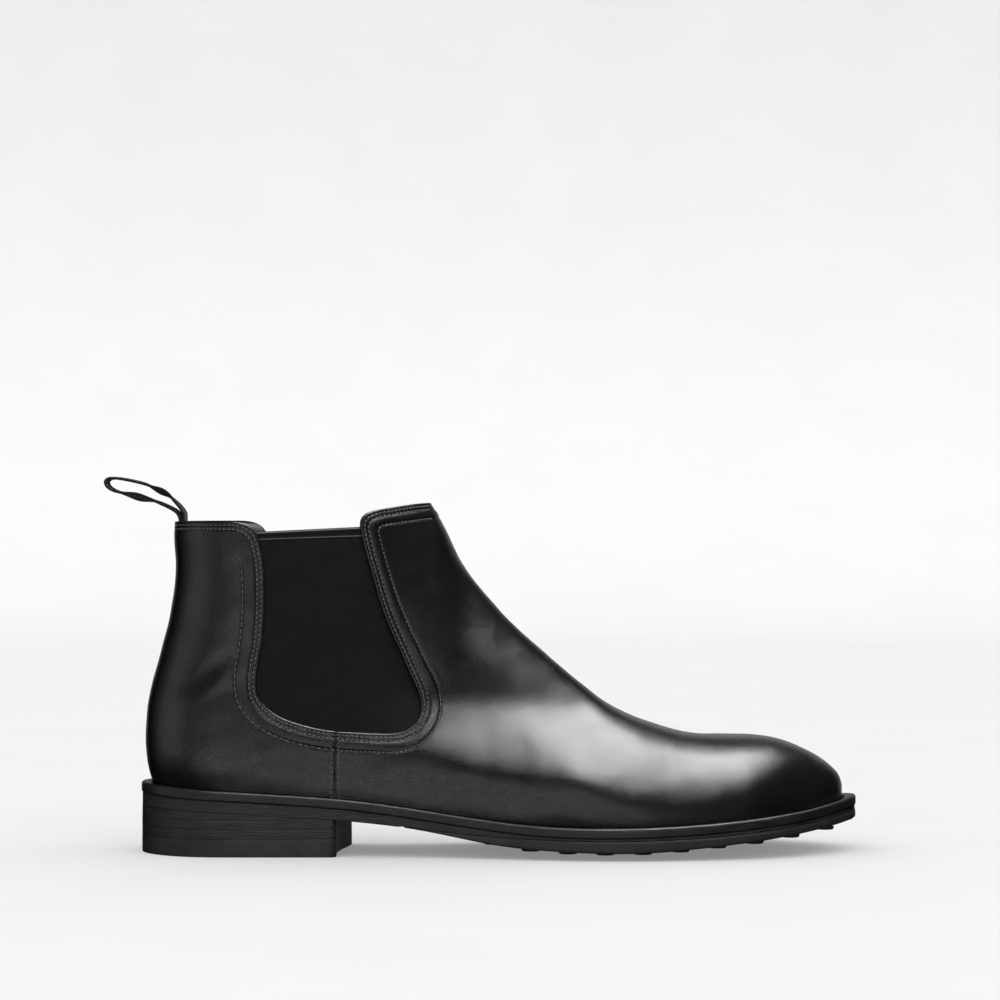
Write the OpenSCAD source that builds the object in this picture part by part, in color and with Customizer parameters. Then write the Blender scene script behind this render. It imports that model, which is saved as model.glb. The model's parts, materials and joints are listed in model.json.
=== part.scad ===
// Chelsea boot, right foot, built as its separate pieces.
// +X points to the toe, +Z up, -Y is the lateral (outer) side. Millimetres.
// The origin is on the ground at the middle of the heel's underside.
// The sub-parts are drawn with x = 0 at the rearmost edge of the heel; place() moves them.

/* [Upper] */
// thickness of the outer leather
leather_t = 1.5; // [1.2:0.1:1.5]
// thickness of the lining leather
lining_t = 0.9; // [0.7:0.1:1.1]
// thickness of the elastic web
gore_t = 1.0; // [0.8:0.1:1.1]
// thickness of the toe puff and heel counter
stiffener_t = 1.2; // [0.8:0.1:1.2]

/* [Sole] */
// thickness of the welt
welt_t = 4.2; // [3.8:0.1:4.2]
// thickness of the insole board
insole_t = 2.6; // [2.2:0.1:2.6]
// thickness of the sock liner
sock_t = 1.2; // [0.8:0.1:1.4]
// height of the rubber top lift
top_lift_h = 7.4; // [6:0.2:8]
// diameter of one tread stud
stud_d = 8; // [6:0.5:9]

/* [Pull loop] */
// width of the loop tape
loop_w = 16; // [12:1:18]

/* [Output] */

/* [Hidden] */
$fn = 24;
heel_mid = 42;                        // from the rear edge of the heel to the origin
gap = 0.15;
d_stiff = leather_t + gap;            // depth of the layer behind the leather
d_lining = 3.0;                       // depth of the lining's outer face
x_tip = 299;                          // toe tip of the upper
r_back = 33;                          // roundness of the heel in plan
r_toe = 45;                           // roundness of the toe in plan

// ---------- smooth tables ----------
function seg(T, x, i = 0) = i >= len(T) - 2 || x < T[i + 1][0] ? i : seg(T, x, i + 1);
function slope(T, i) = let(n = len(T) - 1, a = max(i - 1, 0), b = min(i + 1, n))
    (T[b][1] - T[a][1]) / (T[b][0] - T[a][0]);
function sm(T, x) = x <= T[0][0] ? T[0][1] : x >= T[len(T) - 1][0] ? T[len(T) - 1][1] :
    let(i = seg(T, x), h = T[i + 1][0] - T[i][0], t = (x - T[i][0]) / h,
        m0 = slope(T, i) * h, m1 = slope(T, i + 1) * h)
    (2*t*t*t - 3*t*t + 1) * T[i][1] + (t*t*t - 2*t*t + t) * m0
    + (3*t*t - 2*t*t*t) * T[i + 1][1] + (t*t*t - t*t) * m1;
function dsm(T, x) = (sm(T, x + 0.5) - sm(T, x - 0.5));
function clamp(v, a, b) = min(max(v, a), b);
function sstep(v) = let(t = clamp(v, 0, 1)) t * t * (3 - 2 * t);
function rnd(s) = s >= 1 ? 1 : s <= 0 ? 0 : sqrt(1 - (1 - s) * (1 - s));

// ---------- side profiles: height against x ----------
// top of the welt
WELT_TOP = [[0, 29.6], [22, 28.2], [48, 26.8], [84, 24.4], [107, 21.8], [132, 18.2], [153, 15.5],
            [170, 14.0], [194, 13.4], [219, 13.9], [244, 15.3], [264, 17.2], [282, 19.2], [296, 21.6], [305, 23.2]];
// lower edge of the sole along its rim
RIM = [[0, 19.6], [22, 19.0], [48, 17.4], [85, 15.4], [95, 14.5], [107, 13.3], [119, 11.6], [132, 9.2],
       [144, 6.9], [153, 5.5], [165, 4.4], [178, 3.6], [194, 3.1], [208, 3.1], [220, 3.6], [230, 4.4],
       [244, 5.7], [259, 7.2], [273, 8.9], [285, 10.5], [297, 12.4], [305, 13.8]];
// joint line between midsole and rubber outsole
OUT_TOP = [[112, 13.2], [122, 11.7], [132, 10.6], [144, 9.6], [153, 9.0], [170, 8.4], [194, 8.0],
           [219, 8.4], [244, 9.6], [264, 11.5], [282, 13.5], [296, 15.6], [305, 17.0]];
// back line of the upper: x against height
BACK = [[24, 6.8], [27, 5.6], [30, 4.4], [34, 3.4], [40, 2.6], [47, 2.1], [54, 2.0], [60, 2.5], [67, 3.5],
        [74, 4.9], [81, 6.9], [88, 9.0], [95, 10.9], [101, 12.3], [108, 13.5], [115, 14.3], [122, 14.4],
        [129, 14.1], [135, 13.8], [141, 14.1]];
// crest line down the front: height against x
CREST = [[60, 266], [90, 209], [105, 181.4], [115, 163], [120, 153.8], [123, 148.2], [125, 145.4], [126.7, 142.3], [128.4, 138.9], [130.2, 135.4], [131.8, 132], [134.9, 125.2],
         [139.1, 118.4], [144.3, 111.6], [150.2, 104.8], [156.6, 97.9], [163.8, 91.1], [171.5, 84.3],
         [179.2, 77.4], [187.5, 70.7], [196.2, 63.9], [203, 59.8], [211, 56.2], [219.5, 53.3],
         [229.5, 50.4], [239, 49.0], [249, 48.8], [259, 48.7], [268, 47.9], [276.5, 45.5], [284, 42.2], [290, 38.6],
         [294.4, 35.3], [297.3, 32.0], [299, 27.5]];

// ---------- plan outlines: half width against x ----------
SOLE_L = [[0, 33.5], [20, 34], [45, 34.5], [75, 34.5], [100, 35], [125, 38], [150, 43.5], [175, 50],
          [200, 53.8], [215, 54], [235, 52.3], [255, 48.5], [270, 44.5], [285, 40], [305, 34]];
SOLE_M = [[0, 33.5], [20, 34], [45, 34], [75, 31.5], [100, 29.5], [125, 30.5], [150, 35.5], [175, 42.5],
          [200, 49], [220, 51.5], [240, 50.5], [255, 48], [270, 44], [285, 39.5], [305, 34]];
FOOT_L = [[0, 30], [20, 30.5], [45, 31], [75, 31.2], [100, 31.8], [125, 34.6], [150, 39.5], [175, 45],
          [200, 48.3], [215, 48.5], [235, 46.8], [255, 43.4], [270, 40.2], [285, 37.2], [299, 34]];
FOOT_M = [[0, 30], [20, 30.5], [45, 30.5], [75, 28.4], [100, 26.6], [125, 27.4], [150, 32], [175, 38.5],
          [200, 44.2], [220, 46.3], [240, 45], [255, 42.6], [270, 39.6], [285, 36.8], [299, 34]];
// half width of the leg part and instep, high above the sole
LEG = [[0, 33], [30, 34], [60, 34.5], [90, 33.5], [120, 31], [150, 28.5], [175, 30], [200, 35], [230, 41], [299, 41]];
// roundness over the crest
CREST_R = [[60, 33], [118, 33], [140, 33], [160, 31], [180, 31], [200, 32], [230, 33], [260, 30], [280, 24], [290, 16], [299, 8]];
MIDLINE = [[0, 0], [140, 0], [200, 1.5], [250, 4], [305, 7]];
function mid(x) = sm(MIDLINE, x);
function wt(x) = sm(WELT_TOP, x);
function mt(x) = wt(x) - welt_t;                 // top of the midsole
function zb(x) = mt(x) + 0.6;                    // lower edge of the upper
function foot(x, s) = sm(s < 0 ? FOOT_L : FOOT_M, x);
function sole(x, s) = sm(s < 0 ? SOLE_L : SOLE_M, x) * rnd(x / 34) * rnd((305 - x) / 48);

// half width of the boot at side-view point (x, z), at depth d under its skin
function crest_cos(x) = let(m = dsm(CREST, x)) 1 / sqrt(1 + m * m);
function half(x, z, s, d) =
    let(c = crest_cos(x), h = (sm(CREST, x) - zb(x)) * c,
        rc = max(2, min(sm(CREST_R, x), 0.82 * h) - d),
        dc = (sm(CREST, x) - z) * c - d, db = x - sm(BACK, z) - d, dt = x_tip - d - x,
        up = z - zb(x), k = sstep((up - 8) / 62),
        w = foot(x, s) * (1 - k) + sm(LEG, x) * k + 2.2 * (1 - exp(-up / 5)) * (1 - k) - d)
    w * rnd(dc / rc) * rnd(db / (r_back - d)) * rnd(dt / (r_toe - d));
function pt(x, z, s, d) = [x, mid(x) + s * half(x, z, s, d), z];

// ---------- closed shells from grids of points ----------
// A outer grid, B inner grid, both [i][j]; f reverses the facing
function flat(G) = [for (r = G) for (p = r) p];
function quad(a, b, c, d, f) = f ? [[a, b, c], [a, c, d]] : [[a, c, b], [a, d, c]];
module shell(A, B, f) {
    n = len(A) - 1; m = len(A[0]) - 1; N = (n + 1) * (m + 1);
    function a(i, j) = i * (m + 1) + j;
    function b(i, j) = N + i * (m + 1) + j;
    F = [for (i = [0:n-1]) for (j = [0:m-1]) for (q = [quad(a(i,j), a(i+1,j), a(i+1,j+1), a(i,j+1), f),
                                                       quad(b(i,j), b(i,j+1), b(i+1,j+1), b(i+1,j), f)]) for (t = q) t];
    E = [for (i = [0:n-1]) for (q = [quad(a(i,0), b(i,0), b(i+1,0), a(i+1,0), f),
                                     quad(a(i+1,m), b(i+1,m), b(i,m), a(i,m), f)]) for (t = q) t];
    G = [for (j = [0:m-1]) for (q = [quad(a(0,j+1), b(0,j+1), b(0,j), a(0,j), f),
                                     quad(a(n,j), b(n,j), b(n,j+1), a(n,j+1), f)]) for (t = q) t];
    polyhedron(points = concat(flat(A), flat(B)), faces = concat(F, E, G), convexity = 6);
}
// two mirrored halves joined: along the last row (j = m) from column ic on, and
// along the first column if jl, along the last column if jr
module twin(AL, BL, AM, BM, ic, jl, jr) {
    n = len(AL) - 1; m = len(AL[0]) - 1; N = (n + 1) * (m + 1);
    function joined(i, j) = (j == m && i >= ic) || (i == 0 && jl) || (i == n && jr);
    function id(i, j, s, o) = i * (m + 1) + j + (o ? 2 * N : 0) + (s > 0 && !joined(i, j) ? N : 0);
    F = [for (s = [-1, 1]) for (i = [0:n-1]) for (j = [0:m-1])
            for (q = [quad(id(i,j,s,false), id(i+1,j,s,false), id(i+1,j+1,s,false), id(i,j+1,s,false), s > 0),
                      quad(id(i,j,s,true), id(i,j+1,s,true), id(i+1,j+1,s,true), id(i+1,j,s,true), s > 0)]) for (t = q) t];
    E = [for (s = [-1, 1]) for (i = [0:n-1])
            for (q = concat([quad(id(i,0,s,false), id(i,0,s,true), id(i+1,0,s,true), id(i+1,0,s,false), s > 0)],
                     i < ic ? [quad(id(i+1,m,s,false), id(i+1,m,s,true), id(i,m,s,true), id(i,m,s,false), s > 0)] : [])) for (t = q) t];
    G = [for (s = [-1, 1]) for (j = [0:m-1])
            for (q = concat(jl ? [] : [quad(id(0,j+1,s,false), id(0,j+1,s,true), id(0,j,s,true), id(0,j,s,false), s > 0)],
                     jr ? [] : [quad(id(n,j,s,false), id(n,j,s,true), id(n,j+1,s,true), id(n,j+1,s,false), s > 0)])) for (t = q) t];
    polyhedron(points = concat(flat(AL), flat(AM), flat(BL), flat(BM)), faces = concat(F, E, G), convexity = 8);
}

// ---------- vamp: ribs from the sole edge up to the gore edge, collar and crest ----------
// each row: x at the sole edge, then x and z of the upper end
RIBS = [[84.3, 84.3, 52.4], [96, 95.5, 52], [107, 106.8, 51.7], [115, 114.2, 53.4], [122, 118.6, 57.5],
        [127, 119.5, 62.7], [132, 118.6, 68.3], [137.5, 114.9, 76], [140, 110.8, 86], [142, 106.2, 96.4],
        [144, 102.4, 107], [146, 99.5, 117.4], [148, 96.8, 126.3], [150, 94.9, 135], [151.5, 95.6, 141.6],
        [153, 98.7, 144.3], [155, 106, 146], [156.5, 112, 147], [158, 117, 147.7], [159.2, 120.4, 148], [160, 122.3, 148.2],
        [160.6, 123, 148.2], [164, 127.5, 140.7], [168, 131.8, 132], [172.5, 137.2, 121.4], [177.5, 144.3, 111.6],
        [183, 153.3, 101.4], [189, 163.8, 91.1], [195, 175.3, 80.9], [201.5, 187.5, 70.7], [208, 198, 62.7],
        [215, 208, 57.4], [223, 219.5, 53.3], [232, 230, 50.3], [241, 240, 48.9], [250, 250, 48.8],
        [259, 259.4, 48.7], [267, 268, 47.9], [275, 276.5, 45.5], [282, 284, 42.2], [288, 290, 38.6],
        [293, 294.4, 35.3], [296.5, 297.3, 32.0], [299, 299, 27.5]];
IC = 20;                                          // first rib that reaches the crest
VJ = [0, 0.04, 0.1, 0.2, 0.34, 0.5, 0.65, 0.78, 0.88, 0.945, 0.984, 1];
function rib_pt(i, v, s, d, drop) =
    let(r = RIBS[i], bx = r[0] - d * clamp((r[0] - 255) / 44, 0, 1), m = dsm(CREST, min(r[1], 298)), q = 1 / sqrt(1 + m * m),
        tx = i < IC ? r[1] - (i > 14 ? d * 1.15 * (i - 14) / (IC - 14) : 0) : i == IC ? r[1] - d * 1.15 : r[1] + d * m * q,
        tz = i < IC ? r[2] - (i > 13 ? drop : 0) : i == IC ? r[2] - drop : r[2] - d * q,
        x = bx + (tx - bx) * v, z = zb(bx) + (tz - zb(bx)) * v)
    (v == 1 && i >= IC) || i == len(RIBS) - 1 ? [x, mid(x), z] : [x, mid(x) + s * max(half(x, z, s, d), 0.5), z];
function rib_grid(i0, s, d, drop, v1 = 1) = [for (i = [i0:len(RIBS)-1]) [for (v = VJ) rib_pt(i, v, s, d, drop)]];
module vamp_shell(i0, d0, d1, drop)
    twin(rib_grid(i0, -1, d0, drop), rib_grid(i0, -1, d1, drop), rib_grid(i0, 1, d0, drop), rib_grid(i0, 1, d1, drop),
         max(0, IC - i0), false, true);

module vamp() color([0.05, 0.05, 0.055]) vamp_shell(0, 0, leather_t, 0);
module vamp_lining() color([0.16, 0.14, 0.13]) vamp_shell(0, d_lining, d_lining + lining_t, 0.6);
module toe_puff() color([0.82, 0.78, 0.68]) vamp_shell(34, d_stiff, d_stiff + stiffener_t, 0);

// ---------- quarters: rows from the back line to the side seam and gore edge ----------
// each row: height on the back line, then x and z of the front end
ROWS = [[0, 84, 0], [28.6, 84, 26], [32, 84, 33], [38, 84, 43], [44, 84, 52.4], [49, 73, 54.6], [54, 64.3, 57.1],
        [60, 57.4, 60.6], [66, 52.8, 65], [72, 51, 70], [79, 51.2, 76], [86, 52.5, 83], [96, 53.9, 94],
        [107, 54.5, 106], [118, 54.4, 117], [127, 53.2, 127], [134, 51.2, 134.4], [137.6, 48.3, 138], [140.1, 43.8, 139.9]];
WI = [0, 0.004, 0.012, 0.026, 0.046, 0.072, 0.102, 0.138, 0.18, 0.23, 0.29, 0.36, 0.44, 0.53, 0.64, 0.76, 0.88, 1];
function row_pt(k, w, s, d, drop) =
    let(r = ROWS[k], z0 = k == 0 ? zb(6) : r[0] - (k > 16 ? drop : 0), z1 = k == 0 ? zb(84) : r[2] - (k > 16 ? drop : 0),
        x0 = sm(BACK, z0) + d, x = x0 + (r[1] - x0) * w, z = k == 0 ? zb(x) : z0 + (z1 - z0) * w)
    w == 0 ? [x, 0, z] : pt(x, z, s, d);
function row_grid(s, d, drop, cl) = [for (w = WI) [for (k = [0:len(ROWS)-1])
    let(p = row_pt(k, w, s, d, drop)) w == 0 && cl > 0 ? pt(p[0] + 0.02, p[2], s, d) : p]];
module quarter(s) shell(row_grid(s, 0, 0, 1), row_grid(s, leather_t, 0, 1), s > 0);
module quarter_lateral() color([0.05, 0.05, 0.055]) quarter(-1);
module quarter_medial() color([0.05, 0.05, 0.055]) quarter(1);
module quarter_lining() color([0.16, 0.14, 0.13])
    twin(row_grid(-1, d_lining, 0.6, 0), row_grid(-1, d_lining + lining_t, 0.6, 0),
         row_grid(1, d_lining, 0.6, 0), row_grid(1, d_lining + lining_t, 0.6, 0), 99, true, false);

// heel counter: lower heel cup, behind the quarters
CROWS = [[0, 78, 0], [28.4, 78, 26], [31, 77, 30], [37, 74, 34], [44, 69, 38], [51, 60, 42], [57, 50, 47], [61, 38, 53]];
function counter_pt(k, w, s, d) =
    let(r = CROWS[k], z0 = k == 0 ? zb(6) : r[0], z1 = k == 0 ? zb(78) : r[2],
        x0 = sm(BACK, z0) + d, x = x0 + (r[1] - x0) * w, z = k == 0 ? zb(x) : z0 + (z1 - z0) * w)
    w == 0 ? [x, 0, z] : pt(x, z, s, d);
function counter_grid(s, d) = [for (w = WI) [for (k = [0:len(CROWS)-1]) counter_pt(k, w, s, d)]];
module heel_counter() color([0.75, 0.68, 0.55])
    twin(counter_grid(-1, d_stiff + 0.2), counter_grid(-1, d_stiff + stiffener_t - 0.12),
         counter_grid(1, d_stiff + 0.2), counter_grid(1, d_stiff + stiffener_t - 0.12), 99, true, false);

// ---------- gores: elastic web with a hidden margin behind the leather ----------
GORE_REAR = [[44.5, 76], [46, 67], [49, 58.5], [53, 52], [58, 47.5], [64, 44.6], [72, 43.2], [83, 44.3],
             [93, 45.6], [105, 46.4], [116, 46.4], [126, 45.6], [138, 44.6]];
GORE_FRONT = [[44.5, 92], [45.2, 104], [47, 113], [50, 119.5], [54, 124], [60, 126.8], [66, 127], [76, 122.8],
              [86, 118.6], [96, 114.2], [107, 110.4], [117, 107.4], [126, 104.8], [138, 102.6]];
GZ = [44.5, 45.2, 46.4, 48.4, 51.5, 56, 62, 70, 79, 88, 98, 108, 118, 127, 132, 135.8];
GU = [0, 0.09, 0.19, 0.3, 0.42, 0.54, 0.65, 0.75, 0.84, 0.92, 1];
function gore_grid(s, d) = [for (u = GU) [for (z = GZ)
    let(x0 = sm(GORE_REAR, z), x1 = sm(GORE_FRONT, z), x = x0 + (x1 - x0) * u)
    pt(x, z > 125 ? z + (z - 125) * (x - 60) * 0.0045 : z, s, d)]];
module gore(s) shell(gore_grid(s, d_stiff), gore_grid(s, d_stiff + gore_t), s > 0);
module gore_lateral() color([0.09, 0.09, 0.1]) gore(-1);
module gore_medial() color([0.09, 0.09, 0.1]) gore(1);

// ---------- flat layers: plan outline cut to a side profile ----------
function stations(a, b, n) = [for (k = [0:n]) a + (b - a) * (1 - cos(180 * k / n)) / 2];
module plan(pts) translate([0, 0, -5]) linear_extrude(height = 60) polygon(pts);
module band(lo, hi) rotate([90, 0, 0]) linear_extrude(height = 200, center = true) polygon(concat(lo, [for (i = [len(hi)-1:-1:0]) hi[i]]));
function sole_outline(a, b, n, inset = 0) = let(X = stations(a, b, n))
    concat([for (x = X) [x, mid(x) - sole(x, -1) + inset]], [for (k = [n-1:-1:1]) [X[k], mid(X[k]) + sole(X[k], 1) - inset]]);
// the foot outline at the sole edge, at depth d inside the upper's skin (negative: outside it)
function back_foot(x) = 5.4;
function foot_outline(d, n) = let(a = 5.4 + d, b = x_tip - d, X = stations(a, b, n), r0 = r_back - d, r1 = r_toe - d,
        w = function (x, s) (foot(x, s) - d) * rnd((x - a) / r0) * rnd((b - x) / r1))
    concat([for (x = X) [x, mid(x) - w(x, -1)]], [for (k = [n-1:-1:1]) [X[k], mid(X[k]) + w(X[k], 1)]]);
PX = [for (x = [-4:13:309]) x];
function prof(f, o) = [for (x = PX) [x, f(x) + o]];

module welt() color([0.12, 0.11, 0.11]) difference() {
    intersection() {
        plan(sole_outline(0, 305, 30));
        band(prof(function (x) mt(x), 0.1), prof(function (x) wt(x), 0));
    }
    plan(foot_outline(-1.35, 30));
}
// full leather midsole: thick under the heel and waist, thin under the ball
function mid_low(x) = x < 112 ? sm(RIM, x) : sm(OUT_TOP, x) + 0.1;
ML = concat([for (x = [-4:12:104]) [x, mid_low(x)]], [[112, 12.7], [113, 13.2]], [for (x = [122:12:310]) [x, mid_low(x)]]);
module midsole() color([0.2, 0.14, 0.11]) intersection() {
    plan(sole_outline(0, 305, 30, 0.4));
    band(ML, prof(function (x) mt(x), 0));
}
// rubber outsole from the waist forward, lower edge raised at the rim, studs reach the ground
OX = [112.5, 120, 128, 136, 145, 154, 165, 178, 194, 210, 224, 238, 252, 266, 280, 293, 307];
// middle line of the tread, a little lower than the rim
function tread(x) = sm(RIM, x) - 3.1 * sstep((x - 125) / 60) * (1 - 0.45 * sstep((x - 245) / 55));
function stud_low(x, y) = let(s = y < mid(x) ? -1 : 1, q = (y - mid(x)) / max(8, sole(x, s)))
    tread(x) + (sm(RIM, x) - tread(x)) * min(1, q * q) - 0.15 * (q > 0.5 || q < -0.5 ? 3 : 0);
STUDS = [for (x = [150:15.5:290]) for (r = [-3:3])
            let(y = mid(x) + r * (x > 262 ? 13.4 : x < 160 ? 11.4 : 14), s = r < 0 ? -1 : 1, e = sole(x, s) - abs(y - mid(x)))
            if (e > stud_d / 2 + 1.2) [x, y]];
module outsole() color([0.1, 0.1, 0.105]) union() {
    intersection() {
        plan(sole_outline(0, 305, 30));
        band([for (x = OX) [x, sm(RIM, x)]], [for (x = OX) [x, sm(OUT_TOP, x)]]);
    }
    for (p = STUDS) let(z0 = max(0, stud_low(p[0], p[1]))) translate([p[0], p[1], z0])
        cylinder(h = sm(RIM, p[0]) + 1.2 - z0, d = stud_d, $fn = 12);
}

// ---------- heel ----------
BREAST = [[85, -60], [85, -31], [84.2, -22], [83.8, -8], [84.6, 4], [87, 14], [88.6, 20], [89, 26], [88.6, 60]];
module heel_plan() translate([0, 0, -5]) linear_extrude(height = 40) polygon(
    let(X = [for (x = stations(0, 200, 60)) if (x < 83) x], n = len(X))
    concat([for (x = X) [x, -sole(x, -1) + 0.3]], [[85, -sole(85, -1) + 0.5], [84.2, -22], [83.8, -8], [84.8, 4], [87, 14], [89, 21],
           [89.2, sole(89, 1) - 3], [86, sole(86, 1) - 0.4]], [for (k = [n-1:-1:1]) [X[k], sole(X[k], 1) - 0.3]]));
z1 = 11.4; z2 = 15.3;
NAILS = [[12, 0], [18, -16], [18, 16], [36, -26], [36, 26], [58, -26], [58, 25], [76, -16], [76, 14]];
module nail_holes() for (p = NAILS) translate([p[0], p[1], -1]) cylinder(h = 13.6, r = 1.22, $fn = 16);
module heel_wedge() color([0.17, 0.13, 0.11]) intersection() {
    heel_plan();
    band([[-4, z2 + 0.1], [40, z2 + 0.1], [78, z2 + 0.1], [78.1, z2 + 0.1], [86, z2 - 0.25], [95, z2 - 0.7]], [[-4, 19.5], [22, 18.9], [48, 17.3], [84, 15.34], [86, 15.25], [95, 14.4]]);
}
module heel_lift_upper() color([0.15, 0.12, 0.11]) difference() {
    intersection() {
        heel_plan();
        band([[-4, z1 + 0.05], [95, z1 + 0.05]], [[-4, z2], [78, z2], [85, z2 - 0.3], [95, z2 - 0.8]]);
    }
    nail_holes();
}
module heel_lift_lower() color([0.15, 0.12, 0.11]) difference() {
    intersection() {
        heel_plan();
        translate([-10, -60, top_lift_h + 0.05]) cube([120, 120, z1 - top_lift_h - 0.05]);
    }
    nail_holes();
}
module top_lift() color([0.09, 0.09, 0.095]) difference() {
    intersection() {
        heel_plan();
        translate([-10, -60, 0]) cube([120, 120, top_lift_h]);
    }
    nail_holes();
}
module top_lift_nails() color([0.6, 0.58, 0.52])
    for (p = NAILS) translate([p[0], p[1], 0.3]) cylinder(h = 12.1, r = 1.2, $fn = 16);

// ---------- inside the sole ----------
module insole_board() color([0.72, 0.58, 0.42]) intersection() {
    plan(foot_outline(d_lining + lining_t + 0.35, 24));
    band(prof(function (x) mt(x), 2.7), prof(function (x) mt(x), 2.7 + insole_t));
}
module sock_liner() color([0.2, 0.17, 0.15]) intersection() {
    plan(foot_outline(d_lining + lining_t + 0.7, 24));
    band(prof(function (x) mt(x), 2.85 + insole_t), prof(function (x) mt(x), 2.85 + insole_t + sock_t));
}
module cork_filler() color([0.62, 0.45, 0.3]) intersection() {
    plan(foot_outline(7, 24));
    band([for (x = [152:12:296]) [x, mt(x) + 0.15]], [for (x = [152:12:296]) [x, mt(x) + 2.5]]);
}
// spring steel shank under the waist, with a pressed stiffening rib
module shank() color([0.7, 0.71, 0.73]) intersection() {
    translate([0, 0, -5]) linear_extrude(height = 60) union() {
        polygon([[46, -8], [140, -6.5], [140, 6.5], [46, 8]]);
        translate([46, 0]) circle(r = 8);
        translate([140, 0]) circle(r = 6.5);
    }
    band([for (x = [36:9:148]) [x, mt(x) + 0.3]], [for (x = [36:9:148]) [x, mt(x) + 2.2]]);
}

// ---------- pull loop ----------
pivot = [17.6, 142.7];
LOOP_OUT = [[15.9, 142.3], [15.5, 143.5], [14.6, 144.7], [11.5, 146.4], [5.5, 149], [-1.7, 150.4], [-8.1, 152], [-12.6, 153.3],
            [-15, 155], [-15.6, 157], [-14.4, 158.7], [-11.1, 159], [-5.5, 158.3], [1.7, 156.6], [6, 154.6], [11.6, 152.2],
            [15, 149], [17.8, 146.4], [19.2, 144], [19.3, 142.3], [18.6, 141.3], [17.6, 141], [16.6, 141.3]];
LOOP_IN = [[-13.9, 156.7], [-13.2, 155.3], [-11.9, 154.5], [-7.7, 153.4], [-1.3, 151.8], [6, 150.4], [12, 147.8], [14.6, 146.9],
           [13.6, 148.5], [10.6, 150.9], [5.4, 153.3], [1.2, 155.1], [-5.8, 156.9], [-11.2, 157.6], [-12.9, 157.5]];
module pull_loop() color([0.07, 0.07, 0.075]) rotate([90, 0, 0]) linear_extrude(height = loop_w, center = true) difference() {
    polygon(LOOP_OUT);
    polygon(LOOP_IN);
}
// the two tape ends sewn down between leather and lining
function root_pt(y, z, d) = let(w = 33.2 - d, r = r_back - d) [sm(BACK, z) + d + r * (1 - sqrt(1 - (y / w) * (y / w))), y, z];
function root_grid(d) = [for (y = [-8:2:8]) [for (z = [124, 128, 132, 136, 138.5, 140.4]) root_pt(y * loop_w / 16, z, d)]];
module loop_root() color([0.07, 0.07, 0.075]) shell(root_grid(d_stiff), root_grid(d_stiff + gore_t), true);

module place() translate([-heel_mid, 0, 0]) children();

place() vamp();
place() quarter_lateral();
place() quarter_medial();
place() gore_lateral();
place() gore_medial();
place() vamp_lining();
place() quarter_lining();
place() toe_puff();
place() heel_counter();
place() sock_liner();
place() insole_board();
place() shank();
place() cork_filler();
place() welt();
place() midsole();
place() outsole();
place() heel_wedge();
place() heel_lift_upper();
place() heel_lift_lower();
place() top_lift();
place() top_lift_nails();
place() pull_loop();
place() loop_root();
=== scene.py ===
import json, math
import bpy, bmesh
import numpy as np
from mathutils import Vector, Matrix

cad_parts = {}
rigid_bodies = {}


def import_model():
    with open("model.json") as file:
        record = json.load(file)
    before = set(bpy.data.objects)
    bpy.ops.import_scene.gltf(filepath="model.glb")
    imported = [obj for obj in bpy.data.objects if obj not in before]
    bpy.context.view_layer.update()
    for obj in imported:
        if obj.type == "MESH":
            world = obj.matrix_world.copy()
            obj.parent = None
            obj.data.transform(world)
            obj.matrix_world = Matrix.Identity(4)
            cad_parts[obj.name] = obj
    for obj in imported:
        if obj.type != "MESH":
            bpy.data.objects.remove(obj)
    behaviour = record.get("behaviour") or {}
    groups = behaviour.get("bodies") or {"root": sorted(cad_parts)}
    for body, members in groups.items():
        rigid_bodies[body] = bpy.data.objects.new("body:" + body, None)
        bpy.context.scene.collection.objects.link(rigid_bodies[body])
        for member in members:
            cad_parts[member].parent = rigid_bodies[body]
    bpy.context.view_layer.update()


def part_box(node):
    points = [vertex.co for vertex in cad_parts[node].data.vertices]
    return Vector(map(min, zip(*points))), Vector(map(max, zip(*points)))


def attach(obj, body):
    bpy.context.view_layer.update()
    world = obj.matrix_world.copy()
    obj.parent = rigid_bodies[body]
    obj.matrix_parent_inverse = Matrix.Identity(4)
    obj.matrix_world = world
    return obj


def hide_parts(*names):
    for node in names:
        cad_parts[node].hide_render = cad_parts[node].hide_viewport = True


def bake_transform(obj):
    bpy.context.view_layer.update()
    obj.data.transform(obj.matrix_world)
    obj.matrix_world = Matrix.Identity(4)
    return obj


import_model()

HEEL_MID = -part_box("top_lift")[0].x * 1000.0      # heel's rear edge to the origin, mm
rng = np.random.default_rng(7)

# =====================================================================================
# Shape of the boot, in mm, x = 0 at the heel's rear edge (the same tables as the CAD)
# =====================================================================================


def table(T, sigma=0.0):
    X = np.array([a for a, _ in T], float)
    Y = np.array([b for _, b in T], float)
    n = len(X) - 1
    a = np.maximum(np.arange(n + 1) - 1, 0)
    b = np.minimum(np.arange(n + 1) + 1, n)
    M = (Y[b] - Y[a]) / (X[b] - X[a])

    def f(x):
        x = np.clip(np.asarray(x, float), X[0], X[-1])
        i = np.clip(np.searchsorted(X, x, side="right") - 1, 0, n - 1)
        h = X[i + 1] - X[i]
        t = (x - X[i]) / h
        return ((2 * t**3 - 3 * t**2 + 1) * Y[i] + (t**3 - 2 * t**2 + t) * M[i] * h
                + (3 * t**2 - 2 * t**3) * Y[i + 1] + (t**3 - t**2) * M[i + 1] * h)

    if sigma <= 0:
        return f
    # a smoother version: average over a small window that shrinks to nothing at the ends
    g = np.arange(X[0], X[-1] + 0.125, 0.25)
    k = np.linspace(-2.5, 2.5, 41)
    w = np.exp(-0.5 * k * k)
    w /= w.sum()
    s = np.minimum(sigma, np.minimum(g - X[0], X[-1] - g) / 2.5)
    G = (f(g[:, None] + s[:, None] * k[None, :]) * w[None, :]).sum(1)
    return lambda x: np.interp(x, g, G)


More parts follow.
